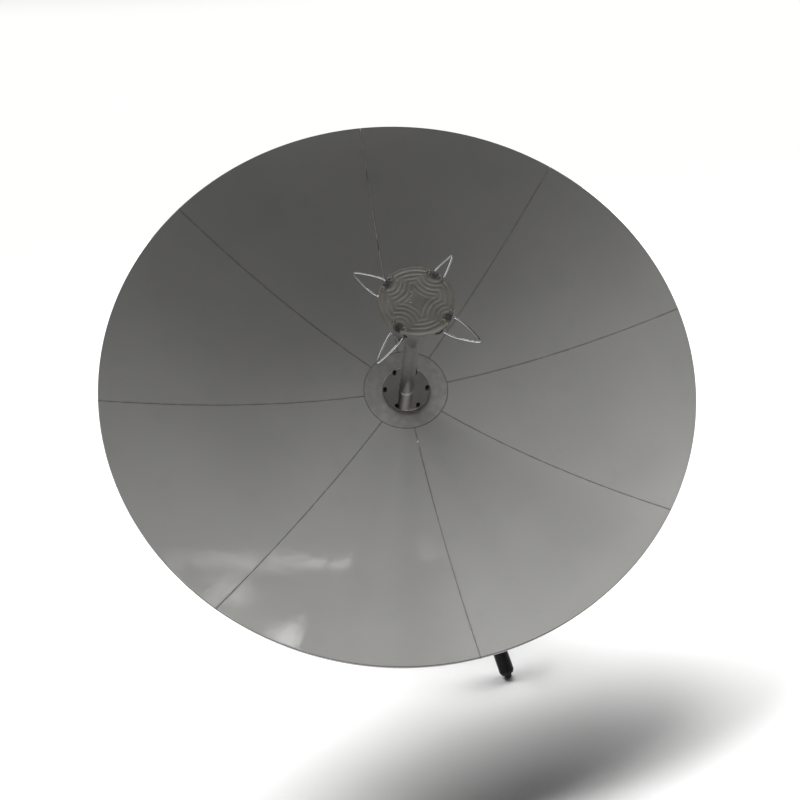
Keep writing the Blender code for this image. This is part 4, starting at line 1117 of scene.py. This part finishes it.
def head():
    floor = HEAD_BOTTOM + 0.016
    body = lathe([(0.03, HEAD_BOTTOM), (0.15, HEAD_BOTTOM, 0.004),
                  (0.17, HEAD_BOTTOM + 0.02, 0.004), (0.17, HEAD_TOP - 0.0005, 0.003),
                  (0.112, HEAD_TOP), (0.112, HEAD_TOP - 0.018), (0.15, HEAD_TOP - 0.03),
                  (0.15, floor, 0.006), (0.044, floor, 0.006), (0.044, HEAD_TOP),
                  (0.03, HEAD_TOP)], 0.0012, 4, 160)
    plan = soften([(0.156, -0.043), (0.256, -0.043, 0.008), (0.256, 0.043, 0.008),
                   (0.156, 0.043)], 0.001, 4)
    web = HINGE_RADIUS - 0.045
    cheek = wrapped([(HINGE_RADIUS, HINGE_HEIGHT, 0.026), (web, HINGE_HEIGHT - 0.027, 0.004),
                     (web, HINGE_HEIGHT + 0.027, 0.004)])
    arms, holes = bmesh.new(), bmesh.new()
    ears = []
    for leg in range(3):
        turn = spin(LEG_PHASE + leg * math.tau / 3)
        prism(plan, HINGE_HEIGHT - 0.034, HINGE_HEIGHT + 0.034, arms, turn)
        ear = bmesh.new()
        for low, high in ((0.0288, 0.0405), (-0.0405, -0.0288)):
            prism(cheek, low, high, ear, turn @ UPRIGHT)
        ears.append(ear)
        rod(0.0064, -0.06, 0.06, 32, holes, turn @ move(HINGE_RADIUS, 0, HINGE_HEIGHT) @ ALONG_Y)
        for side in (-0.03, 0.03):
            block((0.188, side - 0.009, HINGE_HEIGHT + 0.0295),
                  (0.244, side + 0.009, HINGE_HEIGHT + 0.04), holes, turn)
    lock = spin(LEG_PHASE + math.radians(60)) @ move(0, 0, HINGE_HEIGHT) @ ALONG_X
    rod(0.0059, 0.14, 0.2, 32, holes, lock)
    boss = sleeve(0, 0.017, 0.16, 0.179, 0.002, 64, None, lock, 3)
    part("Tripod_head", body, "casting", "casting", AZIMUTH, "root", add=(arms, *ears, boss),
         cut=(holes,), bevel=0.0014)

    low, high = HEAD_TOP + GAP, TABLE_BOTTOM - GAP
    race = lathe([(0.12, low), (0.164, low), (0.164, 0.5602), (0.1622, 0.5608), (0.164, 0.5614),
                  (0.164, high), (0.12, high)], 0.0004, 2, 160)
    part("Azimuth_bearing", race, "steel_ring", "steel", AZIMUTH, "root")

    forwards = spin(-QUARTER)
    flat = HEAD_TOP - 0.0005
    pointer = prism(soften([(0.17, -0.007), (0.1935, -0.0012), (0.1935, 0.0012),
                            (0.17, 0.007)], 0.0006, 2), HEAD_TOP - 0.003, flat, None, forwards)
    rod(0.0028, flat, HEAD_TOP + 0.0012, 24, pointer, forwards @ move(0.1745, 0, 0))
    extra("Azimuth_pointer", pointer, "zinc", "steel", AZIMUTH, "root", bevel=0.0003)

    for number, hinge in enumerate(HINGES):
        pin = sleeve(0, 0.006, -0.044, 0.044, 0.0004, 40)
        for face in (move(0, 0, 0.0408), move(0, 0, -0.0408) @ BACKWARDS):
            sleeve(0.004, 0.0098, 0, 0.0013, 0.0003, 40, pin, face)
            hexagon(0.016, 0.0013, 0.0052, pin, face)
        part(f"Leg_hinge_pin_{number + 1}", pin, "zinc", "steel", hinge @ ALONG_Y, "root",
             bevel=0.0003)

    def lobes(radius, height, angle):
        return radius - (0.003 * (0.5 + 0.5 * math.cos(6 * angle)) if radius > 0.0165 else 0)

    knob = lathe([(0, -0.02), (0.0055, -0.02), (0.0055, 0.01), (0.012, 0.01),
                  (0.014, 0.014), (0.02, 0.018), (0.02, 0.033), (0.016, 0.038),
                  (0, 0.038)], 0.0022, 4, 96, None, STILL, lobes)
    part("Azimuth_lock_knob", knob, "black", "black", AZIMUTH @ lock @ move(0, 0, 0.1705),
         "lock_knob", angle=50)


def bubble_level():
    place = AZIMUTH @ spin(LEG_PHASE + math.tau / 3) @ move(0.216, 0, HINGE_HEIGHT + 0.034)
    cup = lathe([(0, 0.0003), (0.016, 0.0003), (0.016, 0.0085), (0.0125, 0.0085),
                 (0.0125, 0.0035), (0, 0.0035)], 0.0008, 3, 64)
    extra("Level_cup", cup, "turned", "aluminium", place, "root")
    extra("Level_fluid", sleeve(0, 0.0123, 0.0036, 0.0066, 0.0005, 48), "vial", "painted", place,
          "root")
    circle = turned([(0.0044, 0.0066), (0.005, 0.0066), (0.005, 0.007), (0.0044, 0.007)], 48)
    extra("Level_ring", circle, "black", "black", place, "root")
    dome = turned([(0, 0.0068), (0.0124, 0.0068), (0.0124, 0.0084), (0.01, 0.0092),
                   (0.006, 0.0098), (0, 0.01)], 64)
    extra("Level_glass", dome, "glass", "painted", place, "root")


def legs():
    end = -0.4
    collar = 0.0345
    tube = lathe([(0, -0.045), (0.02, -0.045, 0.002), (0.029, -0.052, 0.002),
                  (0.029, end + 0.036), (collar, end + 0.032), (collar, end + 0.019),
                  (0.0336, end + 0.018), (collar, end + 0.017), (collar, end + 0.002),
                  (0.0325, end), (0.0256, end), (0.0256, -0.06), (0, -0.06)], 0.0007, 2, 80)
    knuckle = prism(wrapped([(0, 0, 0.024), (-0.016, -0.046, 0.003), (0.016, -0.046, 0.003)]),
                    -0.0285, 0.0285, None, UPRIGHT)
    lug = block((0.022, -0.03, end + 0.006), (0.046, -0.018, end + 0.03))
    bore = rod(0.0064, -0.05, 0.05, 32, None, ALONG_Y)
    tube_mesh = finished(tube, "anodised", add=(knuckle, lug), cut=(bore,), bevel=0.0008,
                         bevel_angle=50)
    lever = prism(wrapped([(0, 0, 0.005), (0.001, 0.012, 0.005), (-0.004, 0.046, 0.0035)], 40),
                  -0.011, 0.011)
    lever_mesh = finished(lever, "black", bevel=0.0012, segments=3)

    bottom = FOOT_BALL - LEG_LENGTH
    extension = lathe([(0.0225, bottom), (0.024, bottom), (0.025, bottom + 0.001),
                       (0.025, -0.23), (0.0225, -0.23)], 0.0005, 2, 80)
    extension_mesh = finished(extension, "anodised")
    marks = bmesh.new()
    for number in range(10):
        high = -0.3 - 0.02 * number
        low = high - 0.0008
        turned([(0.0249, high), (0.02508, high), (0.02508, low), (0.0249, low)], 80, marks)
    marks_mesh = finished(marks, "ink")
    nub = [(FOOT_BALL * math.sin(angle), -LEG_LENGTH - FOOT_BALL * math.cos(angle))
           for angle in (math.radians(10) * step for step in range(10))]
    foot = lathe(nub + [(0.012, bottom - 0.0105), (0.019, bottom - 0.008),
                        (0.024, bottom - 0.0003), (0.0213, bottom - 0.0003),
                        (0.0213, bottom + 0.03), (0, bottom + 0.03)], 0.001, 3, 72)
    foot_mesh = finished(foot, "rubber", angle=50)

    for number, hinge in enumerate(HINGES):
        place = hinge @ spin(-LEG_TILT, 'Y')
        tag = number + 1
        stand_in(f"Leg_tube_{tag}", tube_mesh, place, f"leg_{tag}")
        stand_in(f"Leg_clamp_lever_{tag}", lever_mesh,
                 place @ move(0.041, -0.012, end + 0.018), f"clamp_{tag}")
        stand_in(f"Leg_extension_{tag}", extension_mesh, place, f"extension_{tag}")
        show(f"Leg_marks_{tag}", marks_mesh, place, f"extension_{tag}")
        stand_in(f"Leg_foot_{tag}", foot_mesh, place, f"extension_{tag}")


bracket()
sector()
yokes()
crank()
brake()
turntable()
azimuth_scale()
head()
bubble_level()
legs()


# ---------------------------------------------------------------- stage, lights, camera

def stage():
    floor = bmesh.new()
    bmesh.ops.create_grid(floor, x_segments=2, y_segments=2, size=40.0)
    mesh = bpy.data.meshes.new("floor")
    floor.to_mesh(mesh)
    floor.free()
    made = linked("Floor", mesh)
    n = Nodes("floor")
    tone = n.blend(n.span(n.noise(0.8, 3.0), 0.3, 0.7), (0.46, 0.46, 0.459), (0.48, 0.48, 0.479))
    n.set(colour=tone, rough=n.span(n.noise(3.0, 2.0), 0.3, 0.7, 0.62, 0.72))
    mesh.materials.append(n.material)


def bearing(azimuth, elevation):
    """The direction towards a light: azimuth from -Y towards +X, in degrees."""
    turn, rise = math.radians(azimuth), math.radians(elevation)
    return Vector((math.sin(turn) * math.cos(rise), -math.cos(turn) * math.cos(rise),
                   math.sin(rise)))


def sky(horizon, panels, strip):
    """A studio of soft panels: each lights the directions about its own, fading outwards. The
    strip is a panel cut down to a thin line by the plane through it."""
    world = bpy.data.worlds.new("studio")
    bpy.context.scene.world = world
    world.use_nodes = True
    background = world.node_tree.nodes["Background"]
    n = Tree(world.node_tree)
    view = n.put("ShaderNodeTexCoord").outputs["Generated"]

    def facing(direction):
        return n.put("ShaderNodeVectorMath", {0: view, 1: direction},
                     operation='DOT_PRODUCT').outputs["Value"]

    total = n.span(facing((0, 0, -1)), -0.3, -0.19, 0.0, horizon)
    for centre, far, near, strength in panels:
        total = n.math('ADD', total, n.span(facing(centre), far, near, 0.0, strength))
    (centre, far, near, strength), normal, outside, inside = strip
    line = n.math('MULTIPLY', n.span(facing(centre), far, near),
                  n.span(n.math('ABSOLUTE', facing(normal)), outside, inside, 0.0, strength))
    background.inputs["Color"].default_value = (1.0, 1.0, 0.995, 1.0)
    n.join(n.math('ADD', total, line), background.inputs["Strength"])


def panel(azimuth, elevation, inner, outer, strength):
    return (bearing(azimuth, elevation), math.cos(math.radians(outer)),
            math.cos(math.radians(inner)), strength)


def sun(name, azimuth, elevation, strength):
    """A soft distant light that isn't mirrored: only the sky's own panels show in the gloss."""
    light = bpy.data.lights.new(name, 'SUN')
    light.angle = math.radians(32)
    light.energy = strength
    made = linked(name, light)
    made.rotation_euler = bearing(azimuth, elevation).to_track_quat('Z', 'Y').to_euler()
    made.visible_glossy = False


def lights():
    """Each panel: azimuth, elevation, inner and outer radius in degrees, and strength."""
    small = [panel(112, 59, 0.6, 1.8, 12.0), panel(125, 62, 0.7, 2.0, 16.0),
             panel(131, 62.5, 0.6, 1.8, 12.0)]
    broad = [panel(-126, 60, 5, 20, 2.6), panel(-150, 66, 8, 28, 1.0), panel(150, 66, 8, 28, 0.8),
             panel(0, 90, 10, 50, 0.2)]
    tube = (panel(110, 67, 3, 15, 9.0), (0.14, -0.988, 0.068), 0.02, 0.011)
    sky(1.0, small + broad, tube)
    sun("Key", -127, 60, 5.5)
    sun("Fill", 126, 60, 1.4)
    sun("Back", 150, 62, 0.9)
    sun("Top", 180, 75, 3.5)


def camera():
    """The photograph's camera, fitted to the rim and seams, with its off-centre framing."""
    size, centre_x, centre_y = 800, 479.69, 317.86
    lens = bpy.data.cameras.new("camera")
    lens.sensor_width = 36.0
    lens.lens = 37.936
    lens.shift_x = -(centre_x - size / 2) / size
    lens.shift_y = (centre_y - size / 2) / size
    lens.clip_start, lens.clip_end = 0.05, 200.0
    made = linked("camera", lens)
    right = Vector((0.963165, -0.246227, -0.1081))
    down = Vector((-0.146883, -0.144986, -0.97847))
    ahead = Vector((0.225252, 0.958307, -0.175812))
    turn = Matrix((right, -down, -ahead)).transposed()
    made.matrix_world = move(-0.36411, -2.70136, 1.68404) @ turn.to_4x4()
    bpy.context.scene.camera = made


stage()
lights()
camera()
bpy.context.scene.view_settings.view_transform = 'Standard'
